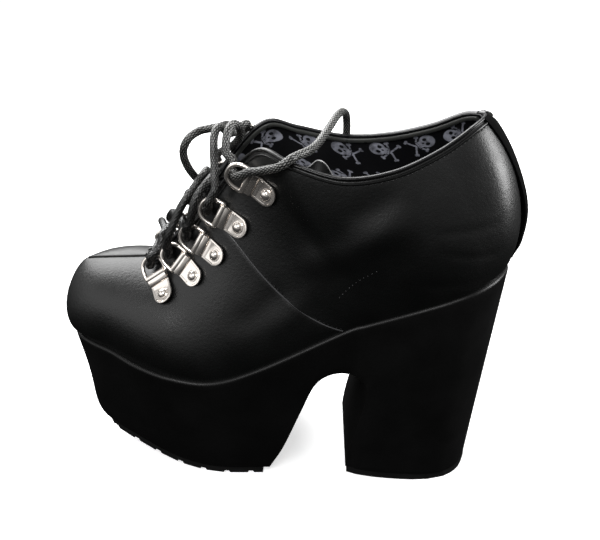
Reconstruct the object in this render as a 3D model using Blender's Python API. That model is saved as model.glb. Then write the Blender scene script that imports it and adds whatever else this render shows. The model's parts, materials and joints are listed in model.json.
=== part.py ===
"""Platform lace-up shoe for the left foot.

A hollow upper stands on a wrapped platform and heel with an open arch. It holds an insole, a tongue and a
backstay, and it closes with five pairs of D-rings and one round lace, threaded loosely and not tied.

Frame: toe towards -X, outer side towards -Y, up +Z, tread on z = 0. Tables are in millimetres, objects in metres.
"""

import math

import bmesh
import bpy
import numpy as np
from mathutils import Vector

MM = 0.001

# --- driving sizes, millimetres ---------------------------------------------------------------------------
WALL = 1.9  # leather and lining together
GAP = 0.3  # what separate pieces keep between them
LEDGE = 2.0  # how far the platform's edge stands out under the upper
LEDGE_BEVEL = 1.1
TREAD = 4.5  # height of the forepart outsole and of the heel's top lift, with the gap above them
QUARTER_STEP = 0.8  # the quarter lies this much over the vamp
SEAM_RIDGE = 0.8  # the raised seam along the top of the toe
RIDGE_WIDTH = 1.3
BINDING = 0.5  # the folded topline stands this much proud
BINDING_WIDTH = 4.0
INSOLE_THICK = 2.4
INSOLE_INSET = 3.2
TONGUE_THICK = 2.2
TONGUE_ROUND = 2.2  # power of the fall towards its edges: 1 is a ridge, more is flatter in the middle
BACKSTAY_WIDE = 13.0
BACKSTAY_SPAN = (0.085, 0.995)  # share of the wall's height that it covers
BACKSTAY_THICK = 1.3
RIB_PITCH = 14.0
RIB_GROOVE = 2.4
RIB_DRAFT = 0.7  # how much wider a groove is at its mouth, to each side
GROOVE_DEEP = 1.3
TREAD_INSET = 0.5
OUTSOLE_REAR = -11.5
LIFT_FRONT = 37.0
CUTTER_REACH = 70.0  # past both sides of the platform
FACE_LEAN = 0.034  # the heel's front face, from square across the shoe, in millimetres for each millimetre
FACE_NEAR = -40.0  # y where that face stands as the arch's outline gives it
ARCH_CROWN = 27.0  # x of the top of the arch
LACE = 4.2
RING_WIRE = 2.0
RING_BAR = 13.0  # between the middles of its two corners
RING_DEPTH = 11.0
RING_TILT = 21  # degrees that a ring stands off the leather
RING_FLARE = 0.6  # how far the round part is wider than the bar, to each side
RING_SQUARE = 0.8  # under 1 gives the round part fuller corners
LACE_GAP = 0.9  # between the lace and the wire that it turns round
LACE_SPREAD = 22  # how far, in degrees round a ring, the lace going in and out sit from its middle
EDGE_GAP = 1.9  # between the lace and the throat's edge that it goes over
SLID_RING_3 = 38  # the slack lace has slid this far round rings 3 and 4 on the outer side
SLID_RING_4 = 50
PLATE_THICK = 0.9
PLATE_WIDE = 11.0
PLATE_LONG = 17.0
RIVET_ACROSS = 5.4
RIVET_HIGH = 1.4

# --- the last: one row for each station, from the toe's tip round either side to the back of the heel -----
# x, outer y, inner y and z of the line where the upper meets the platform
FOOT = [
    (-122.9, 4.0, 4.0, 75.9),  # 0 toe tip
    (-118.3, -10.1, 17.8, 75.5),  # 1 toe corner
    (-109.3, -18.1, 25.9, 74.7),  # 2 toe side
    (-96.0, -25.2, 32.0, 73.3),  # 3 toe root
    (-80.5, -34.2, 38.2, 70.4),  # 4 end of the throat
    (-61.0, -41.2, 42.6, 67.6),  # 5 ring 1
    (-38.0, -43.7, 44.4, 66.8),  # 6 ring 2
    (-12.0, -43.2, 42.6, 75.9),  # 7 ring 3
    (33.0, -37.4, 28.8, 97.2),  # 8 quarter seam
    (44.0, -37.0, 27.4, 101.4),  # 9 ring 5
    (53.0, -37.5, 26.8, 104.8),  # 10 peak of the flap
    (62.0, -38.2, 26.6, 108.4),  # 11 front of the collar
    (73.0, -39.0, 26.8, 112.8),  # 12 side of the collar
    (86.0, -38.9, 26.6, 117.7),  # 13 rear of the collar
    (99.5, -35.2, 23.2, 122.0),  # 14 counter
    (112.0, -23.5, 11.5, 124.2),  # 15 heel corner
    (119.0, -6.0, -6.0, 124.4),  # 16 heel back
]
# x, outer y, inner y, z of the upper's top edge, and how much higher the inner side stands
TOP = [
    (-112.5, 4.0, 4.0, 116.3, 0.0),
    (-108.0, 3.9, 3.9, 116.9, 0.0),
    (-99.0, 3.7, 3.7, 117.5, 0.0),
    (-88.5, 3.4, 3.4, 118.2, 0.0),
    (-78.0, 3.0, 3.0, 119.0, 0.0),
    (-73.5, -4.5, 10.0, 119.6, 0.0),
    (-63.0, -8.6, 13.6, 128.5, 1.0),
    (-50.5, -11.0, 14.8, 143.2, 2.0),
    (-37.5, -13.8, 16.0, 161.0, 4.2),
    (-25.0, -17.2, 17.4, 177.8, 4.8),
    (-10.5, -24.4, 19.6, 191.8, 2.0),
    (6.0, -36.0, 25.0, 188.6, 0.5),
    (30.0, -41.0, 29.0, 183.5, 0.0),
    (54.0, -36.8, 24.8, 185.8, 0.0),
    (76.0, -27.6, 15.6, 193.6, 0.0),
    (92.0, -18.4, 6.4, 202.6, 0.0),
    (99.5, -6.0, -6.0, 205.2, 0.0),
]
# how a wall leaves the platform and how it arrives at the top edge: x, outward and z of each handle
SWEEP = [
    (-15.4, 0.0, 5.4, -8.0, 0.0, 0.0),
    (-12.2, 8.8, 7.2, -6.4, 13.5, 0.0),
    (-5.5, 10.8, 12.0, -7.0, 23.0, -0.3),
    (-1.0, 10.0, 17.0, -4.0, 27.0, -0.8),
    (0.0, 8.0, 22.0, -1.0, 28.0, -2.5),
    (1.0, 8.0, 24.0, 4.0, 24.0, -7.0),
    (0.0, 7.0, 24.0, 9.0, 22.0, -11.0),
    (-4.0, 6.0, 24.0, 14.0, 22.0, -16.0),
    (-28.0, 6.0, 9.0, 16.0, 22.0, -20.0),
    (-22.0, 5.0, 12.0, 14.0, 18.0, -26.0),
    (-16.0, 5.0, 15.0, 10.0, 13.0, -32.0),
    (-12.0, 5.0, 19.0, 6.0, 7.0, -32.0),
    (-6.0, 5.5, 24.0, 5.0, 3.5, -28.0),
    (0.0, 6.5, 26.0, 9.0, 6.0, -27.0),
    (4.0, 7.0, 26.0, 15.0, 9.0, -26.0),
    (9.0, 7.0, 24.0, 20.0, 8.0, -25.0),
    (9.0, 0.0, 22.0, 23.0, 0.0, -25.0),
]
# how much fuller the toe is on the inner side: added to the height of the lower and upper handles
TOE_FULLNESS = [(0.0, 0.0), (0.0, 3.0), (2.0, 6.0), (2.0, 7.5), (2.0, 6.5), (0.0, 1.0)]
# x, outer y, inner y and z of the tread's edge, and how far the wall above it bellies out
TREAD_EDGE = [
    (-111.0, 4.0, 4.0, 14.0, 4.6),
    (-107.5, -11.0, 17.5, 13.0, 4.0),
    (-100.0, -18.6, 24.4, 11.5, 2.8),
    (-86.5, -25.6, 29.5, 8.6, 1.6),
    (-72.0, -32.0, 34.4, 5.0, 0.6),
    (-56.0, -37.0, 38.6, 1.5, 0.0),
    (-37.0, -40.2, 41.2, 0.0, 0.0),
    (-13.0, -39.4, 39.4, 0.0, 0.0),
    (33.0, -36.0, 24.6, 0.0, 0.0),
    (43.0, -38.2, 26.6, 0.0, 0.0),
    (51.0, -39.6, 28.0, 0.0, 0.0),
    (59.0, -40.4, 28.6, 0.0, 0.0),
    (69.0, -40.8, 28.9, 0.0, 0.0),
    (80.5, -40.4, 28.4, 0.0, 0.0),
    (93.0, -37.0, 25.0, 0.0, 0.0),
    (103.5, -26.8, 14.8, 0.0, 0.0),
    (109.0, -6.0, -6.0, 0.0, 0.0),
]
CENTRING = (0.0016, -0.0003, 0.0)  # moves the middle of the finished shoe to x = 0, y = 0
LAST_STATION = len(FOOT) - 1
THROAT = 4  # station where the toe seam opens into the throat
QUARTER = 8  # station where the quarter's front edge runs
COLUMNS = (2, 2, 2, 2, 2, 3, 3, 6, 2, 2, 3, 3, 3, 3, 3, 3)  # mesh columns between stations
ROWS = (0.0, 0.1, 0.22, 0.35, 0.48, 0.61, 0.74, 0.87, 1.0)  # up the wall, below the topline

# the opening between platform and heel, seen from the side: x, z
ARCH = [
    (-11.3, -2.0),
    (-5.2, 8.5),
    (1.2, 21.0),
    (10.9, 46.0),
    (18.4, 63.6),
    (27.0, 70.2),
    (37.0, 70.4),
    (45.0, 65.0),
    (46.2, 54.0),
    (42.2, 34.0),
    (38.2, 16.0),
    (35.6, -2.0),
]
# x, z, half width and drop at the edges of the tongue's upper face, from the vamp to its curled end
TONGUE = [
    (-90.0, 112.6, 12.0, 0.5),
    (-80.0, 113.6, 14.0, 1.2),
    (-71.0, 117.0, 16.5, 5.0),
    (-60.0, 126.5, 17.5, 9.0),
    (-48.0, 140.5, 18.0, 11.0),
    (-37.0, 154.0, 18.5, 11.0),
    (-25.0, 164.5, 19.5, 10.0),
    (-10.0, 169.0, 21.5, 6.0),
    (5.0, 168.5, 21.5, 3.0),
    (12.0, 170.5, 20.5, 2.0),
    (17.0, 175.4, 17.0, 1.8),
    (21.5, 174.8, 13.0, 1.8),
    (26.0, 168.5, 8.0, 1.2),
]
# place along the throat of each ring's bar, and how far below the topline it sits
RINGS = [(5.35, 13.5), (6.33, 13.0), (7.15, 13.0), (8.1, 12.5), (9.4, 11.5)]
RING_TURN = 15  # degrees that the rings lean towards the toe

# The lace between two rings, from the ring on its left to the one on its right: x, y, z.
OUTER_1_TO_INNER_2 = [(-68.8, -16.5, 130.0), (-66.3, -14.5, 133.0), (-65.3, -11.0, 138.2),
                      (-64.2, -6.0, 139.2), (-63.4, 0.0, 138.8), (-62.4, 6.5, 137.2)]
INNER_2_TO_OUTER_3 = [(-65.0, 15.0, 140.6), (-61.8, 7.0, 142.6)]
OUTER_2_TO_INNER_3 = [(-60.2, -22.0, 138.4), (-59.4, -22.6, 142.0), (-57.4, -22.0, 146.7),
                      (-55.1, -20.0, 152.1), (-52.8, -18.0, 156.9), (-50.1, -15.5, 161.0),
                      (-47.1, -12.0, 164.7), (-44.1, -8.5, 168.7), (-42.0, -4.0, 171.2), (-41.6, 1.5, 170.9),
                      (-43.2, 7.0, 167.3), (-45.6, 10.5, 160.6), (-46.6, 12.6, 153.8)]
INNER_3_TO_OUTER_4 = [(-55.0, 16.5, 152.2), (-51.0, 9.0, 153.2)]
OUTER_3_TO_INNER_4 = [(-47.2, -23.8, 150.5), (-46.6, -23.6, 154.0), (-45.7, -23.0, 158.0),
                      (-44.0, -21.5, 163.0), (-41.2, -18.5, 167.3), (-38.4, -14.0, 170.2), (-36.8, -7.0, 171.0),
                      (-36.3, 1.0, 169.8), (-37.9, 9.0, 167.5)]
OUTER_4_TO_INNER_5 = [(-33.2, -25.4, 169.3), (-33.7, -20.5, 174.6), (-34.1, -17.0, 180.2),
                      (-34.5, -14.0, 187.1), (-34.6, -10.5, 192.7), (-33.6, -6.5, 195.9), (-32.0, -1.5, 195.0),
                      (-30.7, 4.5, 191.4), (-28.8, 11.0, 188.4)]
INNER_4_TO_OUTER_5 = [(-39.8, 24.6, 171.5), (-37.0, 21.5, 174.5), (-32.6, 17.0, 178.0), (-27.5, 11.5, 182.5),
                      (-23.9, 6.0, 188.0), (-22.8, 1.0, 193.5), (-23.8, -3.5, 197.3), (-25.6, -7.0, 198.4),
                      (-27.0, -11.0, 196.6), (-28.0, -15.0, 191.6), (-27.5, -18.0, 186.4)]
# the two free ends beyond the last rings
END_RIGHT = [(-18.6, -30.4, 180.0), (-15.2, -32.0, 182.0), (-10.6, -33.0, 182.8), (-5.5, -35.0, 184.6),
             (-0.3, -38.4, 186.9), (2.8, -39.8, 189.1), (5.6, -38.6, 191.0), (9.2, -33.0, 191.3),
             (13.5, -26.0, 191.2), (17.5, -16.0, 191.5), (20.5, -6.0, 193.0), (23.5, 4.0, 195.0),
             (26.6, 14.0, 197.4), (29.4, 22.5, 197.6), (31.6, 29.5, 194.5), (32.4, 34.2, 188.0),
             (32.4, 36.6, 180.5), (31.8, 37.8, 171.5), (31.2, 38.4, 162.5)]
END_LEFT = [(-30.6, 24.0, 188.8), (-32.6, 16.5, 191.4), (-35.0, 9.0, 192.4), (-39.5, 1.5, 193.4),
            (-43.8, -4.0, 193.5), (-48.1, -7.0, 190.9), (-50.8, -8.0, 186.4), (-51.6, -6.5, 181.0),
            (-51.0, -3.5, 175.6), (-49.6, -0.5, 170.6), (-47.0, 1.4, 166.2), (-43.0, 2.4, 163.2),
            (-38.4, 2.6, 162.4), (-33.8, 2.2, 164.2), (-29.6, 1.6, 166.8)]

COLOURS = {
    "upper_leather": ((0.012, 0.012, 0.013), 0.42, 0.0),
    "sole_leather": ((0.011, 0.011, 0.012), 0.5, 0.0),
    "lining": ((0.01, 0.01, 0.012), 0.8, 0.0),
    "tread_rubber": ((0.02, 0.02, 0.02), 0.85, 0.0),
    "nickel": ((0.78, 0.75, 0.7), 0.2, 1.0),
    "lace_cord": ((0.015, 0.015, 0.016), 0.55, 0.0),
}


def clear_scene():
    for obj in list(bpy.data.objects):
        bpy.data.objects.remove(obj)


def new_collection(name):
    collection = bpy.data.collections.new(name)
    bpy.context.scene.collection.children.link(collection)
    return collection


def new_material(name):
    colour, roughness, metallic = COLOURS[name]
    material = bpy.data.materials.new(name)
    material.use_nodes = True
    shader = material.node_tree.nodes["Principled BSDF"]
    shader.inputs["Base Color"].default_value = (*colour, 1.0)
    shader.inputs["Roughness"].default_value = roughness
    shader.inputs["Metallic"].default_value = metallic
    return material


# --- curves through a table's rows ------------------------------------------------------------------------
def through(rows, at, closed=False, corners=()):
    """The smooth curve through the rows, read at fractional row numbers. It bends sharply at a corner row."""
    rows = np.asarray(rows, float)
    count = len(rows)
    at = np.atleast_1d(np.asarray(at, float))
    if closed:
        at = at % count
    first = np.floor(at + 1e-9).astype(int)
    if not closed:
        first = np.clip(first, 0, count - 2)
    part = (at - first)[:, None]

    def row(index):
        return rows[index % count] if closed else rows[np.clip(index, 0, count - 1)]

    def slope(index, forward):
        both = (row(index + 1) - row(index - 1)) / 2
        ends = np.zeros(len(index), bool) if closed else (index <= 0) | (index >= count - 1)
        sharp = np.isin(index % count, list(corners)) | ends
        one_sided = row(index + 1) - row(index) if forward else row(index) - row(index - 1)
        return np.where(sharp[:, None], one_sided, both)

    start, end = row(first), row(first + 1)
    leave, arrive = slope(first, True), slope(first + 1, False)
    return (
        (2 * part**3 - 3 * part**2 + 1) * start
        + (part**3 - 2 * part**2 + part) * leave
        + (3 * part**2 - 2 * part**3) * end
        + (part**3 - part**2) * arrive
    )


def loop(rows_of):
    """A closed list of rows: the outer side from toe to heel, then the inner side back again."""
    outer = [rows_of(station, -1) for station in range(LAST_STATION + 1)]
    inner = [rows_of(station, 1) for station in range(LAST_STATION - 1, 0, -1)]
    return np.array(outer + inner)


def side_y(row, side):
    return row[1] if side < 0 else row[2]


def foot_row(station, side):
    row = FOOT[station]
    return (row[0], side_y(row, side), row[3])


def top_row(station, side):
    row = TOP[station]
    return (row[0], side_y(row, side), row[3] + (row[4] if side > 0 else 0.0))


def fullness(station, side):
    return TOE_FULLNESS[station] if side > 0 and station < len(TOE_FULLNESS) else (0.0, 0.0)


def low_row(station, side):
    x, out, up = SWEEP[station][:3]
    return (x, side * out, up + fullness(station, side)[0])


def high_row(station, side):
    x, out, up = SWEEP[station][3:]
    return (x, side * out, up + fullness(station, side)[1])


def tread_row(station, side):
    row = TREAD_EDGE[station]
    return (row[0], side_y(row, side), row[3])


def belly_row(station, side):
    return (TREAD_EDGE[station][4],)


FOOT_LOOP = loop(foot_row)
TOP_LOOP = loop(top_row)
LOW_LOOP = loop(low_row)
HIGH_LOOP = loop(high_row)
TREAD_LOOP = loop(tread_row)
BELLY_LOOP = loop(belly_row)
LOOP_LENGTH = len(FOOT_LOOP)
THROAT_CORNERS = (THROAT, LOOP_LENGTH - THROAT)


def outward(rows, at):
    """Unit normals, level and pointing out, of a closed outline."""
    step = 0.02
    along = through(rows, np.asarray(at) + step, True) - through(rows, np.asarray(at) - step, True)
    normal = np.stack([along[:, 1], -along[:, 0], np.zeros(len(along))], axis=1)
    normal /= np.linalg.norm(normal, axis=1)[:, None]
    return -normal if normal[0, 0] > 0 and abs(float(np.atleast_1d(at)[0])) < 1e-6 else normal


def wall_points(at, up):
    """Points of the upper's smooth outer face. at is the place round the last, up runs from 0 to 1."""
    at, up = np.broadcast_arrays(np.asarray(at, float), np.asarray(up, float))
    foot = through(FOOT_LOOP, at, True) + (0.0, 0.0, GAP)
    top = through(TOP_LOOP, at, True, THROAT_CORNERS)
    low = foot + through(LOW_LOOP, at, True)
    high = top + through(HIGH_LOOP, at, True)
    up = up[:, None]
    down = 1 - up
    return down**3 * foot + 3 * down**2 * up * low + 3 * down * up**2 * high + up**3 * top


def below_top(at, distance):
    """How far up the wall a point lies that is this distance below its top edge."""
    ups = np.linspace(1, 0, 201)
    path = wall_points(np.full(201, at), ups)
    run = np.concatenate([[0], np.cumsum(np.linalg.norm(np.diff(path, axis=0), axis=1))])
    return float(np.interp(distance, run, ups))


def inside_toe(at):
    """True where the wall ends in the toe seam and not in an open edge."""
    return min(at, LOOP_LENGTH - at) <= THROAT + 1e-9


def side_columns():
    """Places round the outer side, from toe to heel, with a doubled column at the quarter's front edge."""
    places = []
    for station, count in enumerate(COLUMNS):
        if station == QUARTER:
            places.append(station - 0.02)
        places += [station + step / count for step in range(count)]
    return places + [float(LAST_STATION)]


def all_columns():
    side = side_columns()
    return side + [LOOP_LENGTH - place for place in reversed(side[1:-1])]


# --- meshes -----------------------------------------------------------------------------------------------
def add_object(name, mesh, collection, material):
    obj = bpy.data.objects.new(name, mesh)
    collection.objects.link(obj)
    obj.location = CENTRING
    if material:
        mesh.materials.append(material)
    return obj


def mesh_from(name, points, faces, round_it=True):
    """A mesh in metres from points in millimetres."""
    mesh = bpy.data.meshes.new(name)
    mesh.from_pydata([Vector(point) * MM for point in points], [], faces)
    work = bmesh.new()
    work.from_mesh(mesh)
    bmesh.ops.recalc_face_normals(work, faces=work.faces)
    work.to_mesh(mesh)
    work.free()
    if round_it:
        mesh.shade_smooth()
        mesh.set_sharp_from_angle(angle=math.radians(40))
    return mesh


def sheet_normals(points, faces):
    normals = np.zeros_like(points)
    for face in faces:
        corners = points[list(face)]
        cross = np.cross(corners[2] - corners[0], corners[-1] - corners[1])
        for index in face:
            normals[index] += cross
    return normals / np.linalg.norm(normals, axis=1)[:, None]


def between(upper_sheet, lower_sheet, faces):
    """Points and faces of the closed body between two sheets that share their faces."""
    count = len(upper_sheet)
    used = {}
    for face in faces:
        for a, b in zip(face, face[1:] + face[:1]):
            used[frozenset((a, b))] = None if frozenset((a, b)) in used else (a, b)
    body = [tuple(face) for face in faces]
    body += [tuple(index + count for index in reversed(face)) for face in faces]
    body += [(b, a, a + count, b + count) for a, b in filter(None, used.values())]
    return np.concatenate([upper_sheet, lower_sheet]), body


def ladder(count):
    """Faces across a piece whose two long edges are points 0..count-1 and count..2*count-1."""
    return [(k, k + 1, count + k + 1, count + k) for k in range(count - 1)]


def merged(points, faces, within=1e-4):
    """The same body with coincident points made one and collapsed faces dropped."""
    keys = {}
    index = [keys.setdefault(tuple(np.round(p / within).astype(int)), len(keys)) for p in points]
    kept = np.zeros((len(keys), 3))
    kept[index] = points
    whole = []
    for face in faces:
        ring = [index[i] for i in face]
        ring = [a for a, b in zip(ring, ring[1:] + ring[:1]) if a != b]
        if len(set(ring)) > 2:
            whole.append(tuple(ring))
    return kept, whole


def add_cut(obj, cutter, operation="DIFFERENCE"):
    boolean = obj.modifiers.new(operation.lower(), "BOOLEAN")
    boolean.operation = operation
    boolean.solver = "EXACT"
    boolean.object = cutter


def as_cutter(obj):
    obj.hide_render = True
    obj.display_type = "WIRE"


# --- platform, heel and treads ----------------------------------------------------------------------------
def platform_rings(at):
    """The outline of the platform at four heights, from its top edge down to the tread."""
    foot = through(FOOT_LOOP, at, True)
    out = outward(FOOT_LOOP, at)
    tread = through(TREAD_LOOP, at, True) + (0.0, 0.0, TREAD)
    edge = foot + LEDGE * out - (0.0, 0.0, LEDGE_BEVEL)
    belly = tread + 0.17 * (edge - tread) + through(BELLY_LOOP, at, True) * outward(TREAD_LOOP, at)
    return [foot + (LEDGE - LEDGE_BEVEL) * out, edge, belly, tread]


def build_platform(collection, cutters, materials):
    side = [place for place in side_columns() if place != QUARTER - 0.02]
    at = np.array(side + [LOOP_LENGTH - place for place in side[-2:0:-1]])
    rings = platform_rings(at)
    count = len(at)
    points = np.concatenate(rings)
    faces = []
    for ring in range(len(rings) - 1):
        for k in range(count):
            here, after = ring * count + k, ring * count + (k + 1) % count
            faces.append((here, after, after + count, here + count))
    for start in (0, (len(rings) - 1) * count):
        for k in range(len(side) - 1):
            across = (start + k, start + k + 1, start + (count - k - 1) % count, start + (count - k) % count)
            faces.append(across)
    platform = add_object(
        "platform_unit", mesh_from("platform_unit", *merged(points, faces)), collection, materials["sole_leather"]
    )
    outline = through(ARCH, np.linspace(0, len(ARCH) - 1, 2 * len(ARCH) + 3))
    points = [(x - face_lean(x, y), y, z) for y in (-CUTTER_REACH, CUTTER_REACH) for x, z in outline]
    count = len(outline)
    faces = [tuple(range(count)), tuple(range(2 * count - 1, count - 1, -1))]
    faces += [(k, (k + 1) % count, count + (k + 1) % count, count + k) for k in range(count)]
    cutter = add_object("arch_cutter", mesh_from("arch_cutter", points, faces, False), cutters, None)
    as_cutter(cutter)
    add_cut(platform, cutter)


def face_lean(x, y):
    """How far the heel's front face stands nearer the toe at this y. The arch's other side doesn't lean."""
    return FACE_LEAN * (y - FACE_NEAR) * min(max((x - ARCH_CROWN) / 10, 0.0), 1.0)


def place_of_x(x):
    """The place round the outer side where the tread's edge has this x."""
    places = np.linspace(0, LAST_STATION, 1601)
    return np.interp(x, through(TREAD_LOOP, places, True)[:, 0], places)


def tread_points(places, lift):
    """Edge points of a tread, the outer side's first, lifted by lift at each place."""
    both = []
    for at in (np.asarray(places), (LOOP_LENGTH - np.asarray(places)) % LOOP_LENGTH):
        edge = through(TREAD_LOOP, at, True) - TREAD_INSET * outward(TREAD_LOOP, at)
        edge[:, 0] = through(TREAD_LOOP, places, True)[:, 0]
        edge[:, 2] = np.maximum(edge[:, 2], 0.0) + lift
        both.append(edge)
    return np.concatenate(both)


def build_tread(name, places, grooves, collection, material):
    """A tread between two places, with its underside raised by grooves at each place."""
    above = tread_points(places, TREAD - GAP)
    below = tread_points(places, np.asarray(grooves))
    points, faces = between(above, below, ladder(len(places)))
    add_object(name, mesh_from(name, *merged(points, faces), False), collection, material)


def build_treads(collection, materials):
    edges = [(OUTSOLE_REAR, 0.0)]
    groove = OUTSOLE_REAR - RIB_PITCH / 2
    toe = TREAD_EDGE[0][0]
    while groove > toe + RIB_PITCH / 3:
        half = RIB_GROOVE / 2
        edges += [(groove + half + RIB_DRAFT, 0.0), (groove + half, GROOVE_DEEP)]
        edges += [(groove - half, GROOVE_DEEP), (groove - half - RIB_DRAFT, 0.0)]
        groove -= RIB_PITCH
    places = [place_of_x(x) for x, _ in edges]
    deep = [depth for _, depth in edges]
    tip = [0.9, 0.6, 0.35, 0.15, 0.0]
    places += [place for place in tip if place < places[-1] - 0.05]
    deep += [0.0] * (len(places) - len(deep))
    build_tread("forepart_outsole", places[::-1], deep[::-1], collection, materials["tread_rubber"])
    rear = [place_of_x(LIFT_FRONT)] + list(np.linspace(9, 14, 8)) + list(np.linspace(14.4, LAST_STATION, 7))
    build_tread("heel_top_lift", rear, [0.0] * len(rear), collection, materials["tread_rubber"])


# --- upper ------------------------------------------------------------------------------------------------
def upper_grid():
    """Points, faces and the outward step of each point, for the upper's outer face."""
    columns = all_columns()
    points, steps, index, keys = [], [], [], {}
    for at in columns:
        toe = inside_toe(at)
        band = RIDGE_WIDTH if toe else BINDING_WIDTH
        reach = below_top(at, band)
        ups = [reach * row for row in ROWS] + [reach + 0.12 * (1 - reach), 1.0]
        station = min(at, LOOP_LENGTH - at)
        quarter = QUARTER_STEP if station >= QUARTER - 1e-6 else 0.0
        column = []
        for number, (up, point) in enumerate(zip(ups, wall_points(np.full(len(ups), at), ups))):
            last = number == len(ups) - 1
            step = quarter
            if toe and last:
                step += SEAM_RIDGE
            if not toe and number >= len(ROWS):
                step += BINDING
            key = tuple(np.round(point, 3)) if toe and last else (at, number)
            if key not in keys:
                keys[key] = len(points)
                points.append(point)
                steps.append(step)
            column.append(keys[key])
        index.append(column)
    faces = []
    for k, column in enumerate(index):
        after = index[(k + 1) % len(index)]
        for row in range(len(column) - 1):
            faces.append((column[row], after[row], after[row + 1], column[row + 1]))
    return np.array(points), faces, np.array(steps)


def build_upper(collection, materials):
    points, faces, steps = upper_grid()
    normals = sheet_normals(points, faces)
    middle = points.mean(axis=0)
    if ((points - middle) * normals).sum() < 0:
        normals = -normals
    outer = points + steps[:, None] * normals
    inner = points - WALL * normals
    inner[:, 2] = np.where(points[:, 2] <= inner[:, 2], points[:, 2], inner[:, 2])
    body = between(outer, inner, faces)
    add_object("upper", mesh_from("upper", *body), collection, materials["upper_leather"])


def build_insole(collection, materials):
    side = np.array([place for place in side_columns() if place != QUARTER - 0.02])
    edges = []
    for at in (side, (LOOP_LENGTH - side) % LOOP_LENGTH):
        edge = through(FOOT_LOOP, at, True) - INSOLE_INSET * outward(FOOT_LOOP, at)
        edge[:, 2] = through(FOOT_LOOP, side, True)[:, 2]
        edges.append(edge)
    sheet = np.concatenate(edges)
    above = sheet + (0.0, 0.0, GAP + INSOLE_THICK)
    points, faces = between(above, sheet + (0.0, 0.0, GAP), ladder(len(side)))
    add_object("insole", mesh_from("insole", *merged(points, faces)), collection, materials["lining"])


def centre_y(x):
    """The shoe's middle line, from toe seam to heel."""
    return float(np.interp(x, [-112, -78, -40, 20, 100], [4.0, 3.0, 1.5, -5.0, -6.0]))


def build_tongue(collection, materials):
    rows = through(TONGUE, np.linspace(0, len(TONGUE) - 1, 2 * len(TONGUE) - 1))
    across = np.array([-1.0, -0.8, -0.45, 0.0, 0.45, 0.8, 1.0])
    points = []
    for x, z, half, drop in rows:
        for part in across:
            points.append((x, centre_y(x) + half * part, z - drop * abs(part) ** TONGUE_ROUND))
    points = np.array(points)
    wide = len(across)
    faces = []
    for row in range(len(rows) - 1):
        for k in range(wide - 1):
            here = row * wide + k
            faces.append((here, here + 1, here + wide + 1, here + wide))
    normals = sheet_normals(points, faces)
    if normals[:, 2].mean() < 0:
        normals = -normals
    body = between(points, points - TONGUE_THICK * normals, faces)
    add_object("tongue", mesh_from("tongue", *body), collection, materials["lining"])


def build_backstay(collection, materials):
    """A strip over the back seam, laid on the upper's own wall."""
    ups = np.linspace(*BACKSTAY_SPAN, 12)
    offsets = np.linspace(-0.5, 0.5, 5) * BACKSTAY_WIDE
    places = np.linspace(LAST_STATION - 1.2, LAST_STATION + 1.2, 241)
    points = []
    for up in ups:
        path = wall_points(places, up)
        for offset in offsets:
            place = np.interp(FOOT[-1][1] + offset, path[:, 1], places)
            points.append(wall_points([place], up)[0])
    points = np.array(points)
    wide = len(offsets)
    faces = []
    for row in range(len(ups) - 1):
        for k in range(wide - 1):
            here = row * wide + k
            faces.append((here, here + 1, here + wide + 1, here + wide))
    normals = sheet_normals(points, faces)
    if normals[:, 0].mean() < 0:
        normals = -normals
    seat = QUARTER_STEP + BINDING + GAP
    body = between(points + (seat + BACKSTAY_THICK) * normals, points + seat * normals, faces)
    add_object("backstay", mesh_from("backstay", *body), collection, materials["upper_leather"])


# --- D-rings ----------------------------------------------------------------------------------------------
def unit(vector):
    vector = np.asarray(vector, float)
    return vector / np.linalg.norm(vector)


def wall_normals(at, up):
    """Unit normals of the upper's outer face."""
    step = 0.01
    side = wall_points(at + step, up) - wall_points(at - step, up)
    rise = wall_points(at, np.clip(up + step, 0, 1)) - wall_points(at, np.clip(up - step, 0, 1))
    normals = np.cross(side, rise)
    outward_sign = np.sign((normals * (wall_points(at, up) - (0.0, 0.0, 130.0)))[:, 1].sum())
    return outward_sign * normals / np.linalg.norm(normals, axis=1)[:, None]


def ring_frame(number, side):
    """Where ring 1 to 5 sits on one side: its bar's middle, the pull direction, the bar's and the normal."""
    station, setback = RINGS[number - 1]
    at = station if side < 0 else LOOP_LENGTH - station
    bar, ahead, behind, above = (
        wall_points([place], below_top(place, away))[0]
        for place, away in ((at, setback), (at + 0.02, setback), (at - 0.02, setback), (at, setback - 0.5))
    )
    heelward = -side * unit(ahead - behind)
    pull = above - bar
    pull = unit(pull - pull @ heelward * heelward)
    normal = unit(-side * np.cross(heelward, pull))
    turn = math.radians(RING_TURN)
    pull = math.cos(turn) * pull - math.sin(turn) * heelward
    along = np.cross(normal, pull)
    places, ups = np.meshgrid(np.linspace(at - 1.2, at + 1.2, 61), np.linspace(0.4, 1.0, 61))
    places, ups = places.ravel(), ups.ravel()
    skin = wall_points(places, ups)
    over = np.minimum(places, LOOP_LENGTH - places) >= QUARTER - 0.05
    skin = skin + (QUARTER_STEP * over)[:, None] * wall_normals(places, ups) - bar
    under = (abs(skin @ along) < PLATE_WIDE / 2 + 0.8) & (skin @ pull < 3.0) & (skin @ pull > -PLATE_LONG - 1)
    seat = (skin[under] @ normal).max() + GAP
    return bar + seat * normal, pull, along, normal


ROLL = RING_WIRE / 2 + GAP + PLATE_THICK / 2  # radius of the plate's roll round the bar
BAR_UP = ROLL + PLATE_THICK / 2


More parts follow.
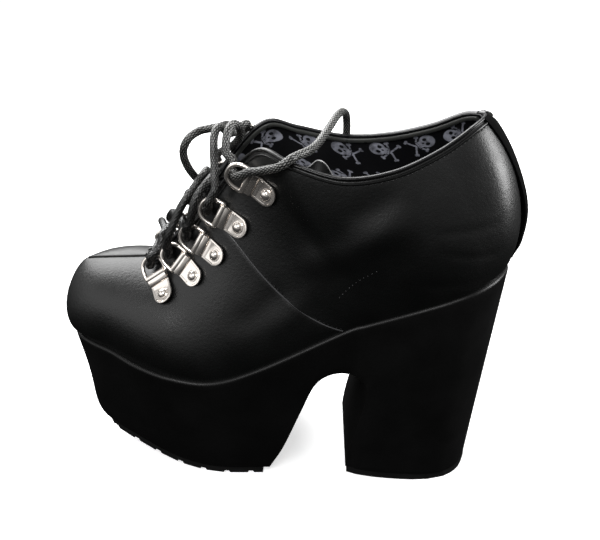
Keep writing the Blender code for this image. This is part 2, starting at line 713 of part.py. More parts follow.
def plate_path():
    """The plate's middle line from its short tail round the bar to its rounded end: away, up, half width."""
    half = PLATE_WIDE / 2
    path = [(3.2, PLATE_THICK / 2, half - 0.4), (1.2, PLATE_THICK / 2, half - 0.4)]
    for angle in range(-90, 91, 30):
        turn = math.radians(angle)
        path.append((-ROLL * math.cos(turn), BAR_UP + ROLL * math.sin(turn), half - 0.4))
    path += [(1.4, BAR_UP + ROLL - 0.2, half - 0.4), (5.6, 1.1, half), (7.0, PLATE_THICK / 2, half)]
    end = PLATE_LONG - half
    path.append((end - 1.0, PLATE_THICK / 2, half))
    for angle in (20, 45, 68, 84):
        turn = math.radians(angle)
        path.append((end + half * math.sin(turn), PLATE_THICK / 2, half * math.cos(turn)))
    return path


def build_plate(name, frame, collection, material):
    origin, pull, along, normal = frame
    path = plate_path()
    line = np.array([(away, up) for away, up, _ in path])
    slope = np.gradient(line, axis=0)
    slope /= np.linalg.norm(slope, axis=1)[:, None]
    outer, inner = [], []
    for (away, up, half), (run, rise) in zip(path, slope):
        for edge in (-half, half):
            for sheet, shift in ((outer, PLATE_THICK / 2), (inner, -PLATE_THICK / 2)):
                a, h = away - shift * rise, up + shift * run
                sheet.append(origin - a * pull + h * normal + edge * along)
    faces = [(2 * k, 2 * k + 1, 2 * k + 3, 2 * k + 2) for k in range(len(path) - 1)]
    points, faces = between(np.array(outer), np.array(inner), faces)
    add_object(name, mesh_from(name, points, faces), collection, material)


def build_rivet(name, frame, collection, material):
    origin, pull, along, normal = frame
    work = bmesh.new()
    bmesh.ops.create_uvsphere(work, u_segments=12, v_segments=6, radius=RIVET_ACROSS / 2 * MM)
    cut = bmesh.ops.bisect_plane(
        work, geom=work.verts[:] + work.edges[:] + work.faces[:], plane_co=(0, 0, 0), plane_no=(0, 0, -1),
        clear_outer=True, dist=1e-7,
    )
    rim = [item for item in cut["geom_cut"] if isinstance(item, bmesh.types.BMEdge)]
    bmesh.ops.contextual_create(work, geom=rim)
    seat = origin - (PLATE_LONG - PLATE_WIDE / 2) * pull + (PLATE_THICK + GAP / 3) * normal
    for vert in work.verts:
        x, y, z = vert.co / MM
        z *= RIVET_HIGH / (RIVET_ACROSS / 2)
        vert.co = Vector(seat + x * pull + y * along + z * normal) * MM
    bmesh.ops.recalc_face_normals(work, faces=work.faces)
    mesh = bpy.data.meshes.new(name)
    work.to_mesh(mesh)
    work.free()
    mesh.shade_smooth()
    mesh.set_sharp_from_angle(angle=math.radians(50))
    add_object(name, mesh, collection, material)


def add_tube(name, points, across, sides, collection, material, closed=False):
    """A round tube along points in millimetres."""
    curve = bpy.data.curves.new(name, "CURVE")
    curve.dimensions = "3D"
    curve.bevel_depth = across / 2 * MM
    curve.bevel_resolution = (sides - 4) // 2
    curve.use_fill_caps = True
    spline = curve.splines.new("POLY")
    spline.points.add(len(points) - 1)
    for target, point in zip(spline.points, points):
        target.co = (*(Vector(point) * MM), 1.0)
    spline.use_cyclic_u = closed
    spline.use_smooth = True
    return add_object(name, curve, collection, material)


def tilted(frame):
    """The ring's own directions: its bar's middle, the way its loop points, and the loop's normal."""
    origin, pull, along, normal = frame
    tilt = math.radians(RING_TILT)
    reach = math.cos(tilt) * pull + math.sin(tilt) * normal
    return origin + BAR_UP * normal, reach, along, np.cross(reach, along)


def ring_arc(frame, degrees):
    """A point on the ring's round part, from 0 at one end of the bar to 180 at the other."""
    bar, reach, along, _ = tilted(frame)
    turn = math.radians(degrees)
    wide = RING_BAR / 2 + RING_FLARE * math.sin(turn)
    across = wide * math.copysign(abs(math.cos(turn)) ** RING_SQUARE, math.cos(turn))
    return bar + across * along + RING_DEPTH * math.sin(turn) ** RING_SQUARE * reach


def build_ring(name, frame, collection, material):
    points = [ring_arc(frame, degrees) for degrees in (0, *range(15, 166, 15), 180)]
    add_tube(name, points, RING_WIRE, 6, collection, material, closed=True)


def build_hardware(collection, materials):
    for side, word in ((-1, "outer"), (1, "inner")):
        for number in range(1, len(RINGS) + 1):
            frame = ring_frame(number, side)
            build_plate(f"ring_plate_{word}_{number}", frame, collection, materials["nickel"])
            build_rivet(f"rivet_{word}_{number}", frame, collection, materials["nickel"])
            build_ring(f"d_ring_{word}_{number}", frame, collection, materials["nickel"])


# --- lace -------------------------------------------------------------------------------------------------
def lace_place(side, heelward):
    """Where on a ring's round part the lace sits, leaning to the heel or to the toe side of its middle."""
    return 90 - side * heelward


def turn_round(number, side, place, angles):
    """The lace's way round a ring's wire: -80 is on its way out under it, 80 is back above it."""
    frame = ring_frame(number, side)
    crown = ring_arc(frame, place)
    tangent = unit(ring_arc(frame, place + 1) - ring_arc(frame, place - 1))
    _, reach, _, up = tilted(frame)
    up = up * math.copysign(1, up @ frame[3])
    away = unit(np.cross(up, tangent))
    away = away * math.copysign(1, away @ reach)
    radius = RING_WIRE / 2 + LACE / 2 + LACE_GAP
    turns = [math.radians(angle) for angle in angles]
    return [crown + radius * (math.sin(turn) * up - math.cos(turn) * away) for turn in turns]


def over_edge(number, side, place):
    """A point just above the topline, where the lace goes over it to a ring."""
    frame = ring_frame(number, side)
    station = RINGS[number - 1][0]
    near = np.linspace(station - 1, station + 1, 41)
    edge = wall_points(near if side < 0 else LOOP_LENGTH - near, 1.0)
    nearest = edge[np.argmin(np.linalg.norm(edge - ring_arc(frame, place), axis=1))]
    return nearest + (LACE / 2 + BINDING + EDGE_GAP) * unit(frame[3] + (0.0, 0.0, 1.5))


def under_ring(number, side, heelward=-LACE_SPREAD):
    place = lace_place(side, heelward)
    return [over_edge(number, side, place)] + turn_round(number, side, place, (-60, -30, 5))


def over_ring(number, side, heelward=LACE_SPREAD, angles=(40, 80, 120)):
    return turn_round(number, side, lace_place(side, heelward), angles)


def cut(route, number):
    """The route in two lengths, cut halfway between a point and the next one, a gap apart."""
    before, after = np.asarray(route[number]), np.asarray(route[number + 1])
    middle, half_gap = (before + after) / 2, GAP * unit(after - before)
    return route[: number + 1] + [middle - half_gap], [middle + half_gap] + route[number + 1 :]


def lace_routes():
    """The middle line of each length of lace. The lengths follow each other with a small gap between."""
    lift = (35, 70)  # the slack lengths rise straight from a ring
    from_outer_1 = (
        under_ring(1, -1) + over_ring(1, -1, angles=lift) + OUTER_1_TO_INNER_2
        + under_ring(2, 1, LACE_SPREAD) + over_ring(2, 1, -LACE_SPREAD) + INNER_2_TO_OUTER_3
        + under_ring(3, -1) + over_ring(3, -1, SLID_RING_3, lift) + OUTER_3_TO_INNER_4
        + under_ring(4, 1) + over_ring(4, 1, angles=lift)
    )
    from_inner_1 = (
        under_ring(1, 1) + over_ring(1, 1)
        + under_ring(2, -1) + over_ring(2, -1, angles=lift) + OUTER_2_TO_INNER_3
        + under_ring(3, 1, LACE_SPREAD) + over_ring(3, 1, -LACE_SPREAD) + INNER_3_TO_OUTER_4
        + under_ring(4, -1) + over_ring(4, -1, SLID_RING_4, lift)
    )
    loop_and_end_right = INNER_4_TO_OUTER_5 + under_ring(5, -1, -5) + END_RIGHT
    loop_and_end_left = (
        OUTER_4_TO_INNER_5 + under_ring(5, 1, LACE_SPREAD) + over_ring(5, 1, -LACE_SPREAD, (40, 75, 105))
        + END_LEFT
    )
    from_outer_1, loop_and_end_right = cut(from_outer_1 + loop_and_end_right, len(from_outer_1))
    from_inner_1, loop_and_end_left = cut(from_inner_1 + loop_and_end_left, len(from_inner_1))
    loop_inner, end_right = cut(loop_and_end_right, len(INNER_4_TO_OUTER_5) + 1)
    loop_outer, end_left = cut(loop_and_end_left, len(OUTER_4_TO_INNER_5) + 1)
    return {
        "lace_crossings": from_inner_1[::-1] + from_outer_1,
        "lace_loop_outer": loop_outer,
        "lace_loop_inner": loop_inner,
        "lace_end_right": end_right,
        "lace_end_left": end_left,
    }


def build_lace(collection, materials):
    for name, route in lace_routes().items():
        add_tube(name, route, LACE, 6, collection, materials["lace_cord"])


def main():
    clear_scene()
    shoe = new_collection("platform_shoe")
    cutters = new_collection("cutters")
    materials = {name: new_material(name) for name in COLOURS}
    build_platform(shoe, cutters, materials)
    build_treads(shoe, materials)
    build_upper(shoe, materials)
    build_insole(shoe, materials)
    build_tongue(shoe, materials)
    build_backstay(shoe, materials)
    build_hardware(shoe, materials)
    build_lace(shoe, materials)


main()
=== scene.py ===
"""The looks of a platform lace-up shoe for the left foot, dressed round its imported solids."""

import json
import math

import bmesh
import bpy
import numpy as np
from mathutils import Matrix, Vector

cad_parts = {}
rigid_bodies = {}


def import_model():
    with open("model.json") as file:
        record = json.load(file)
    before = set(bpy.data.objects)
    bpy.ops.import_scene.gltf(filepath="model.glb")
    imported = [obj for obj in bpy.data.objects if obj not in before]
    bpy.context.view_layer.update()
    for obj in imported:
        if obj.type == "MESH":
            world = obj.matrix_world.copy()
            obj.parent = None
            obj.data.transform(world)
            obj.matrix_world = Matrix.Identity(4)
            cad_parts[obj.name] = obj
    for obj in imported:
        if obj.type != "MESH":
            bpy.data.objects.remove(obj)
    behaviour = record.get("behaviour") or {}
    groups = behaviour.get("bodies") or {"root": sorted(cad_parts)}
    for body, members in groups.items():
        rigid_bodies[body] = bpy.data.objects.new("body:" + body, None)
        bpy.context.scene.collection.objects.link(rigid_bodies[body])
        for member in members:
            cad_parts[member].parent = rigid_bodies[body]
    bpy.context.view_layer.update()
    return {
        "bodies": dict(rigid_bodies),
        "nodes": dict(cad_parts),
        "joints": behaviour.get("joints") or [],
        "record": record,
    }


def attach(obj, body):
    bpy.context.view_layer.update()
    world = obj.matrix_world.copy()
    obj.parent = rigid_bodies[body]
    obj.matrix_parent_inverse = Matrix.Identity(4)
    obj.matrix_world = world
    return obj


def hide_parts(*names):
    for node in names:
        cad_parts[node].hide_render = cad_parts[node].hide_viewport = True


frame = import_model()

MM = 0.001
SHIFT = (1.6, -0.3, 0.0)  # from the frame of the tables below to the shoe's own frame, millimetres
INSIDE = (0.0, 0.0, 130.0)  # a point within the upper
SIDES = ((-1, "outer"), (1, "inner"))

# --- driving sizes, millimetres, the same as the solids' --------------------------------------------------
WALL = 1.9
GAP = 0.3
LEDGE = 2.0
LEDGE_BEVEL = 1.9
TREAD = 4.5
QUARTER_STEP = 0.8
INSOLE_THICK = 2.4
INSOLE_INSET = 3.2
TONGUE_THICK = 2.2
TONGUE_ROUND = 2.2
BACKSTAY_WIDE = 13.0
BACKSTAY_SPAN = (0.085, 0.995)
LACE = 4.2
RING_WIRE = 2.0
RING_BAR = 13.0
RING_DEPTH = 11.0
RING_TILT = 21
RING_FLARE = 0.6
RING_SQUARE = 0.8
RING_TURN = 15
LACE_GAP = 0.9  # between the lace and a ring's wire
EDGE_GAP = 1.9  # between the lace and the topline's roll
# degrees from a ring's middle towards the heel where the lace goes in, and where it comes out
TO_HEEL = (-22, 22)
TO_TOE = (22, -22)
SLID_RING_3 = (-22, 38)
SLID_RING_4 = (-22, 50)
INTO_RING_5 = -5
BINDING = 0.5  # how far the topline's roll stands past the wall's faces
PLATE_THICK = 0.9
PLATE_WIDE = 11.0
PLATE_LONG = 17.0
FACE_LEAN = 0.034  # how much the heel's front face turns from square
FACE_NEAR = -40.0  # the side that it turns about
ARCH_CROWN = 27.0  # where the arch is highest
ARCH_REACH = 70.0  # how far to either side the arch is cut
ROLL = RING_WIRE / 2 + GAP + PLATE_THICK / 2  # radius of the plate's roll round the bar
BAR_UP = ROLL + PLATE_THICK / 2

# --- sizes of the finish, millimetres ---------------------------------------------------------------------
LEATHER_THICK = 1.2  # the outer layer of the wall; the lining is the rest
RIDGE_HIGH = 0.9
RIDGE_HALF = 0.75
BEAD = 1.2  # radius of the rolled topline
ROLL_DOWN = 0.75  # its middle, below the top edge
BAND = 3.6  # width of the turned edge below it
# the turned edge's relief: height, distance below the top edge and half width of each soft hill
TURNED_RELIEF = [(0.5, BAND - 0.3, 0.45), (-0.12, BAND + 0.6, 0.35), (-0.55, 2.1, 0.65)]
BINDING_DOWN = 2.6  # middle of the edge turned in behind the topline
BINDING_HALF = (0.75, 1.35)
FRONT_EDGE_HALF = (0.5, 0.46)  # of the fold along the quarter's front edge
FRONT_EDGE_SUNK = 0.22
FRONT_SEAM_SUNK = 0.12
MARKS_SUNK = 0.05
LINING_THICK = 0.55
TONGUE_EDGE_HALF = 1.35
TONGUE_EDGE_OVER = 0.45  # how far the tongue's edge stands over either face
INSOLE_COVER = 1.4
INSOLE_DISH = 0.9
STITCH_LONG = 1.7
STITCH_PITCH = 2.5
STITCH_THICK = 0.34
STITCH_SIDES = 6
# along a stitch: half length, half width and rise, as shares
STITCH_ENDS = [(-1.0, 0.0, -0.55), (-0.86, 0.62, -0.3), (-0.5, 0.95, 0.0), (0.0, 1.0, 0.08), (0.5, 0.95, 0.0),
               (0.86, 0.62, -0.3), (1.0, 0.0, -0.55)]
SEAM_FROM_EDGE = 0.055  # of a station, from the quarter's front edge to its seam
DOTS_FROM_TO = (9.35, 11.47)  # the needle marks' places round the outer side
DOTS_UP = (0.257, 0.37)
FOOT_FLOOR = 0.45  # the wall's lower edge reaches down over the gap, to the platform
SEAM_ROWS = 13  # rows of the wall's grid over the toe seam
# distances below the topline of the wall's upper rows, over the toe seam and the turned edge
CLOSE_DEPTHS = [0, 0.2, 0.4, 0.56, 0.68, 0.75, 0.85, 1.0, 1.2, 1.45, 1.7, 2.0, 2.3, 2.6, 2.9, 3.2, 3.5,
                3.8, 4.1, 4.5, 5.2]
EDGED_FROM = 40  # row of the tongue's grid where its turned edge starts
# shares of the way from the tread up to the ledge, closer together where the wall bellies out
WALL_SHARES = (0.96, 0.9, 0.8, 0.7, 0.6, 0.5, 0.42, 0.35, 0.29, 0.24, 0.2, 0.16, 0.125, 0.095, 0.065,
               0.04, 0.02, 0.0)

# lace
BRAID_SIDES = 50
BRAID_STEP = 0.31
CARRIERS = 10  # strands each way round the braid
BRAID_PITCH = 1.35
BRAID_DEEP = 0.34
BRAID_OVER = 0.1  # how far the crowns stand out past the lace's size
AGLET_LONG = 15.0
AGLET_THICK = 0.28
AGLET_CRIMP = 0.13

# ring plates, rivets and rings
FOLD = 4.5  # how far behind the bar the strap lies down on the leather
STRAP = [(1.42, 2.98), (1.66, 3.0), (4.0, 1.72), (4.22, 1.36), (4.32, 0.9), (FOLD, 0.62)]
ROUND_END = (0, 9, 18, 27, 36, 45, 54, 62, 70, 77, 83, 87)  # degrees round the plate's free end
RIM = 0.8
PRESSED = 0.26
HEAD_ACROSS = 6.6
HEAD_HIGH = 2.1
FLANGE = [(1.0, 0.2), (0.95, 0.32), (0.84, 0.34)]  # share of the rivet's radius, and height
DOME = (10, 20, 30, 40, 50, 60, 69, 78, 86)  # degrees up the rivet's dome
RING_SWELL = 1.12  # the polished wire stands a little over its nominal size

# the lining's print
PRINT_PITCH = 20.0
PRINT_SCALE = 1.22
PRINT_TURNS = 3.6  # radians between the most turned prints
PRINT_DOWN = 1.2
HEAD_UP = 1.6
HEAD_HALF = 3.3
JAW_HALF = (1.75, 1.2)
JAW_DOWN = 2.0
EYE_OUT = 1.35
EYE_ROUND = 0.85
BONE_HALF = 4.9
BONE_THICK = 0.38
KNOB_ROUND = 0.62
BONE_TURN = 33
BONES_DOWN = 3.9
LINT = (0.2, 0.19, 0.18, 1)

# --- light, in metres and watts: name, place, what it faces, size and power -------------------------------
LIGHTS = [
    ("key_softbox", (-0.61, 0.88, 1.19), (-0.05, 0, 0.1), (1.7, 1.1), 44),
    ("right_window", (1.2, 0.1, 0.52), (0.1, 0, 0.15), (0.5, 0.6), 12.5),
    ("sparkle_lamp", (-0.25, -0.9, 1.05), (-0.03, -0.03, 0.16), (0.6, 0.45), 7.5),
    ("left_softbox", (-1.26, -0.72, 0.68), (-0.05, 0, 0.1), (1.4, 0.9), 3.7),
]
DIM_SIDE = (0.46, -0.86, 0.22)  # where the room is darker, ahead and to the right

# --- the last: one row for each station, from the toe's tip round either side to the back of the heel -----
# x, outer y, inner y and z of the line where the upper meets the platform
FOOT = [
    (-122.9, 4.0, 4.0, 75.9),  # 0 toe tip
    (-118.3, -10.1, 17.8, 75.5),  # 1 toe corner
    (-109.3, -18.1, 25.9, 74.7),  # 2 toe side
    (-96.0, -25.2, 32.0, 73.3),  # 3 toe root
    (-80.5, -34.2, 38.2, 70.4),  # 4 end of the throat
    (-61.0, -41.2, 42.6, 67.6),  # 5 ring 1
    (-38.0, -43.7, 44.4, 66.8),  # 6 ring 2
    (-12.0, -43.2, 42.6, 75.9),  # 7 ring 3
    (33.0, -37.4, 28.8, 97.2),  # 8 quarter seam
    (44.0, -37.0, 27.4, 101.4),  # 9 ring 5
    (53.0, -37.5, 26.8, 104.8),  # 10 peak of the flap
    (62.0, -38.2, 26.6, 108.4),  # 11 front of the collar
    (73.0, -39.0, 26.8, 112.8),  # 12 side of the collar
    (86.0, -38.9, 26.6, 117.7),  # 13 rear of the collar
    (99.5, -35.2, 23.2, 122.0),  # 14 counter
    (112.0, -23.5, 11.5, 124.2),  # 15 heel corner
    (119.0, -6.0, -6.0, 124.4),  # 16 heel back
]
# x, outer y, inner y, z of the upper's top edge, and how much higher the inner side stands
TOP = [
    (-112.5, 4.0, 4.0, 116.3, 0.0),
    (-108.0, 3.9, 3.9, 116.9, 0.0),
    (-99.0, 3.7, 3.7, 117.5, 0.0),
    (-88.5, 3.4, 3.4, 118.2, 0.0),
    (-78.0, 3.0, 3.0, 119.0, 0.0),
    (-73.5, -4.5, 10.0, 119.6, 0.0),
    (-63.0, -8.6, 13.6, 128.5, 1.0),
    (-50.5, -11.0, 14.8, 143.2, 2.0),
    (-37.5, -13.8, 16.0, 161.0, 4.2),
    (-25.0, -17.2, 17.4, 177.8, 4.8),
    (-10.5, -24.4, 19.6, 191.8, 2.0),
    (6.0, -36.0, 25.0, 188.6, 0.5),
    (30.0, -41.0, 29.0, 183.5, 0.0),
    (54.0, -36.8, 24.8, 185.8, 0.0),
    (76.0, -27.6, 15.6, 193.6, 0.0),
    (92.0, -18.4, 6.4, 202.6, 0.0),
    (99.5, -6.0, -6.0, 205.2, 0.0),
]
# how a wall leaves the platform and how it arrives at the top edge: x, outward and z of each handle
SWEEP = [
    (-15.4, 0.0, 5.4, -8.0, 0.0, 0.0),
    (-12.2, 8.8, 7.2, -6.4, 13.5, 0.0),
    (-5.5, 10.8, 12.0, -7.0, 23.0, -0.3),
    (-1.0, 10.0, 17.0, -4.0, 27.0, -0.8),
    (0.0, 8.0, 22.0, -1.0, 28.0, -2.5),
    (1.0, 8.0, 24.0, 4.0, 24.0, -7.0),
    (0.0, 7.0, 24.0, 9.0, 22.0, -11.0),
    (-4.0, 6.0, 24.0, 14.0, 22.0, -16.0),
    (-28.0, 6.0, 9.0, 16.0, 22.0, -20.0),
    (-22.0, 5.0, 12.0, 14.0, 18.0, -26.0),
    (-16.0, 5.0, 15.0, 10.0, 13.0, -32.0),
    (-12.0, 5.0, 19.0, 6.0, 7.0, -32.0),
    (-6.0, 5.5, 24.0, 5.0, 3.5, -28.0),
    (0.0, 6.5, 26.0, 9.0, 6.0, -27.0),
    (4.0, 7.0, 26.0, 15.0, 9.0, -26.0),
    (9.0, 7.0, 24.0, 20.0, 8.0, -25.0),
    (9.0, 0.0, 22.0, 23.0, 0.0, -25.0),
]
# how much fuller the toe is on the inner side: added to the height of the lower and upper handles
TOE_FULLNESS = [(0.0, 0.0), (0.0, 3.0), (2.0, 6.0), (2.0, 7.5), (2.0, 6.5), (0.0, 1.0)]
# x, outer y, inner y and z of the tread's edge, and how far the wall above it bellies out
TREAD_EDGE = [
    (-111.0, 4.0, 4.0, 14.0, 4.6),
    (-107.5, -11.0, 17.5, 13.0, 4.0),
    (-100.0, -18.6, 24.4, 11.5, 2.8),
    (-86.5, -25.6, 29.5, 8.6, 1.6),
    (-72.0, -32.0, 34.4, 5.0, 0.6),
    (-56.0, -37.0, 38.6, 1.5, 0.0),
    (-37.0, -40.2, 41.2, 0.0, 0.0),
    (-13.0, -39.4, 39.4, 0.0, 0.0),
    (33.0, -36.0, 24.6, 0.0, 0.0),
    (43.0, -38.2, 26.6, 0.0, 0.0),
    (51.0, -39.6, 28.0, 0.0, 0.0),
    (59.0, -40.4, 28.6, 0.0, 0.0),
    (69.0, -40.8, 28.9, 0.0, 0.0),
    (80.5, -40.4, 28.4, 0.0, 0.0),
    (93.0, -37.0, 25.0, 0.0, 0.0),
    (103.5, -26.8, 14.8, 0.0, 0.0),
    (109.0, -6.0, -6.0, 0.0, 0.0),
]
LAST_STATION = len(FOOT) - 1
THROAT = 4  # station where the toe seam opens into the throat
QUARTER = 8  # station where the quarter's front edge runs

# the opening between platform and heel, seen from the side: x, z
ARCH = [
    (-11.3, -2.0),
    (-5.2, 8.5),
    (1.2, 21.0),
    (10.9, 46.0),
    (18.4, 63.6),
    (27.0, 70.2),
    (37.0, 70.4),
    (45.0, 65.0),
    (46.2, 54.0),
    (42.2, 34.0),
    (38.2, 16.0),
    (35.6, -2.0),
]
# x, z, half width and drop at the edges of the tongue's upper face, from the vamp to its curled end
TONGUE = [
    (-90.0, 112.6, 12.0, 0.5),
    (-80.0, 113.6, 14.0, 1.2),
    (-71.0, 117.0, 16.5, 5.0),
    (-60.0, 126.5, 17.5, 9.0),
    (-48.0, 140.5, 18.0, 11.0),
    (-37.0, 154.0, 18.5, 11.0),
    (-25.0, 164.5, 19.5, 10.0),
    (-10.0, 169.0, 21.5, 6.0),
    (5.0, 168.5, 21.5, 3.0),
    (12.0, 170.5, 20.5, 2.0),
    (17.0, 175.4, 17.0, 1.8),
    (21.5, 174.8, 13.0, 1.8),
    (26.0, 168.5, 8.0, 1.2),
]
# place along the throat of each ring's bar, and how far below the topline it sits
RINGS = [(5.35, 13.5), (6.33, 13.0), (7.15, 13.0), (8.1, 12.5), (9.4, 11.5)]
# soft folds: side, then x, z of both ends, half width and depth. A ridge has a depth below 0
FOLDS = [
    (-1, 60.0, 128.0, 118.0, 132.0, 3.0, 0.35),
    (-1, 76.0, 146.0, 116.0, 143.0, 2.2, 0.3),
    (-1, 70.0, 156.0, 114.0, 160.0, 2.2, 0.28),
    (-1, -30.0, 96.0, 8.0, 128.0, 7.0, 0.9),
    (-1, -8.0, 92.0, 26.0, 138.0, 6.0, -0.6),
    (1, 60.0, 128.0, 118.0, 132.0, 3.0, 0.35),
    (1, -30.0, 96.0, 8.0, 128.0, 7.0, 0.7),
    (-1, 2.0, 130.0, 68.0, 169.0, 8.0, -2.1),
    (-1, 26.0, 162.0, 62.0, 178.0, 6.0, 0.6),
]

# The lace between two rings, from the ring on its left to the one on its right: x, y, z.
OUTER_1_TO_INNER_2 = [(-68.8, -16.5, 130.0), (-66.3, -14.5, 133.0), (-65.3, -11.0, 138.2),
                      (-64.2, -6.0, 139.2), (-63.4, 0.0, 138.8), (-62.4, 6.5, 137.2)]
INNER_2_TO_OUTER_3 = [(-65.0, 15.0, 140.6), (-61.8, 7.0, 142.6)]
OUTER_2_TO_INNER_3 = [(-60.2, -22.0, 138.4), (-59.4, -22.6, 142.0), (-57.4, -22.0, 146.7),
                      (-55.1, -20.0, 152.1), (-52.8, -18.0, 156.9), (-50.1, -15.5, 161.0),
                      (-47.1, -12.0, 164.7), (-44.1, -8.5, 168.7), (-42.0, -4.0, 171.2), (-41.6, 1.5, 170.9),
                      (-43.2, 7.0, 167.3), (-45.6, 10.5, 160.6), (-46.6, 12.6, 153.8)]
INNER_3_TO_OUTER_4 = [(-55.0, 16.5, 152.2), (-51.0, 9.0, 153.2)]
OUTER_3_TO_INNER_4 = [(-47.2, -23.8, 150.5), (-46.6, -23.6, 154.0), (-45.7, -23.0, 158.0),
                      (-44.0, -21.5, 163.0), (-41.2, -18.5, 167.3), (-38.4, -14.0, 170.2),
                      (-36.8, -7.0, 171.0), (-36.3, 1.0, 169.8), (-37.9, 9.0, 167.5)]
OUTER_4_TO_INNER_5 = [(-33.2, -25.4, 169.3), (-33.7, -20.5, 174.6), (-34.1, -17.0, 180.2),
                      (-34.5, -14.0, 187.1), (-34.6, -10.5, 192.7), (-33.6, -6.5, 195.9),
                      (-32.0, -1.5, 195.0), (-30.7, 4.5, 191.4), (-28.8, 11.0, 188.4)]
INNER_4_TO_OUTER_5 = [(-39.8, 24.6, 171.5), (-37.0, 21.5, 174.5), (-32.6, 17.0, 178.0), (-27.5, 11.5, 182.5),
                      (-23.9, 6.0, 188.0), (-22.8, 1.0, 193.5), (-23.8, -3.5, 197.3), (-25.6, -7.0, 198.4),
                      (-27.0, -11.0, 196.6), (-28.0, -15.0, 191.6), (-27.5, -18.0, 186.4)]
# the two free ends beyond the last rings
END_RIGHT = [(-18.6, -30.4, 180.0), (-15.2, -32.0, 182.0), (-10.6, -33.0, 182.8), (-5.5, -35.0, 184.6),
             (-0.3, -38.4, 186.9), (2.8, -39.8, 189.1), (5.6, -38.6, 191.0), (9.2, -33.0, 191.3),
             (13.5, -26.0, 191.2), (17.5, -16.0, 191.5), (20.5, -6.0, 193.0), (23.5, 4.0, 195.0),
             (26.6, 14.0, 197.4), (29.4, 22.5, 197.6), (31.6, 29.5, 194.5), (32.4, 34.2, 188.0),
             (32.4, 36.6, 180.5), (31.8, 37.8, 171.5), (31.2, 38.4, 162.5)]
END_LEFT = [(-30.6, 24.0, 188.8), (-32.6, 16.5, 191.4), (-35.0, 9.0, 192.4), (-39.5, 1.5, 193.4),
            (-43.8, -4.0, 193.5), (-48.1, -7.0, 190.9), (-50.8, -8.0, 186.4), (-51.6, -6.5, 181.0),
            (-51.0, -3.5, 175.6), (-49.6, -0.5, 170.6), (-47.0, 1.4, 166.2), (-43.0, 2.4, 163.2),
            (-38.4, 2.6, 162.4), (-33.8, 2.2, 164.2), (-29.6, 1.6, 166.8)]


# --- numbers and lines ------------------------------------------------------------------------------------
def unit(vector):
    vector = np.asarray(vector, float)
    return vector / np.linalg.norm(vector)


def unit_rows(vectors):
    return vectors / np.linalg.norm(vectors, axis=-1)[..., None]


def run_along(points):
    """The length along a line of points, at each of them."""
    return np.concatenate([[0], np.cumsum(np.linalg.norm(np.diff(points, axis=0), axis=1))])


def read_along(at, run, values):
    """The values along a line, read at these lengths."""
    return np.stack([np.interp(at, run, values[:, k]) for k in range(3)], axis=1)


def smooth(value):
    """A soft step from 0 to 1."""
    value = np.clip(value, 0, 1)
    return value * value * (3 - 2 * value)


def hill(value, middle, half):
    """A soft hill, 1 high at its middle."""
    return np.exp(-(((value - middle) / half) ** 2))


def hermite(part, start, leave, end, arrive):
    """The cubic from start to end with these slopes at its ends."""
    return (
        (2 * part**3 - 3 * part**2 + 1) * start
        + (part**3 - 2 * part**2 + part) * leave
        + (3 * part**2 - 2 * part**3) * end
        + (part**3 - part**2) * arrive
    )


def through(rows, at, closed=False, corners=()):
    """The smooth curve through the rows, read at fractional row numbers. It bends sharply at a corner row."""
    rows = np.asarray(rows, float)
    count = len(rows)
    at = np.atleast_1d(np.asarray(at, float))
    if closed:
        at = at % count
    first = np.floor(at + 1e-9).astype(int)
    if not closed:
        first = np.clip(first, 0, count - 2)

    def row(index):
        return rows[index % count] if closed else rows[np.clip(index, 0, count - 1)]

    def slope(index, forward):
        both = (row(index + 1) - row(index - 1)) / 2
        ends = np.zeros(len(index), bool) if closed else (index <= 0) | (index >= count - 1)
        sharp = np.isin(index % count, list(corners)) | ends
        one_sided = row(index + 1) - row(index) if forward else row(index) - row(index - 1)
        return np.where(sharp[:, None], one_sided, both)

    part = (at - first)[:, None]
    return hermite(part, row(first), slope(first, True), row(first + 1), slope(first + 1, False))


# --- the last's outlines ----------------------------------------------------------------------------------
def loop(rows_of):
    """A closed list of rows: the outer side from toe to heel, then the inner side back again."""
    outer = [rows_of(station, -1) for station in range(LAST_STATION + 1)]
    inner = [rows_of(station, 1) for station in range(LAST_STATION - 1, 0, -1)]
    return np.array(outer + inner)


def edge_row(row, side):
    """x, y and z of a table's row on one side. A fifth number raises the inner side."""
    raised = row[4] if side > 0 and len(row) > 4 else 0.0
    return (row[0], row[1] if side < 0 else row[2], row[3] + raised)


def handle_row(station, side, upper):
    """The wall's lower or upper handle at a station, seen from its end of the wall."""
    x, out, up = SWEEP[station][3:] if upper else SWEEP[station][:3]
    if side > 0 and station < len(TOE_FULLNESS):
        up += TOE_FULLNESS[station][upper]
    return (x, side * out, up)


FOOT_LOOP = loop(lambda station, side: edge_row(FOOT[station], side))
TOP_LOOP = loop(lambda station, side: edge_row(TOP[station], side))
LOW_LOOP = loop(lambda station, side: handle_row(station, side, 0))
HIGH_LOOP = loop(lambda station, side: handle_row(station, side, 1))
TREAD_LOOP = loop(lambda station, side: edge_row(TREAD_EDGE[station][:4], side))
BELLY_LOOP = loop(lambda station, side: TREAD_EDGE[station][4:])
LOOP_LENGTH = len(FOOT_LOOP)
THROAT_CORNERS = (THROAT, LOOP_LENGTH - THROAT)


def place_of(station, side):
    """The place round the last of a station on the outer side, -1, or the inner side, 1."""
    return station if side < 0 else LOOP_LENGTH - station


def station_of(places):
    return np.minimum(places, LOOP_LENGTH - places)


def on_toe_seam(places):
    """Whether places on the outer side lie on the closed seam ahead of the throat."""
    return places <= THROAT + 1e-9


def outward(rows, at):
    """Unit normals, level and pointing out, of a closed outline, from places that start at the toe's tip."""
    step = 0.02
    along = through(rows, at + step, True) - through(rows, at - step, True)
    normal = unit_rows(np.stack([along[:, 1], -along[:, 0], np.zeros(len(along))], axis=1))
    return -normal if normal[0, 0] > 0 else normal


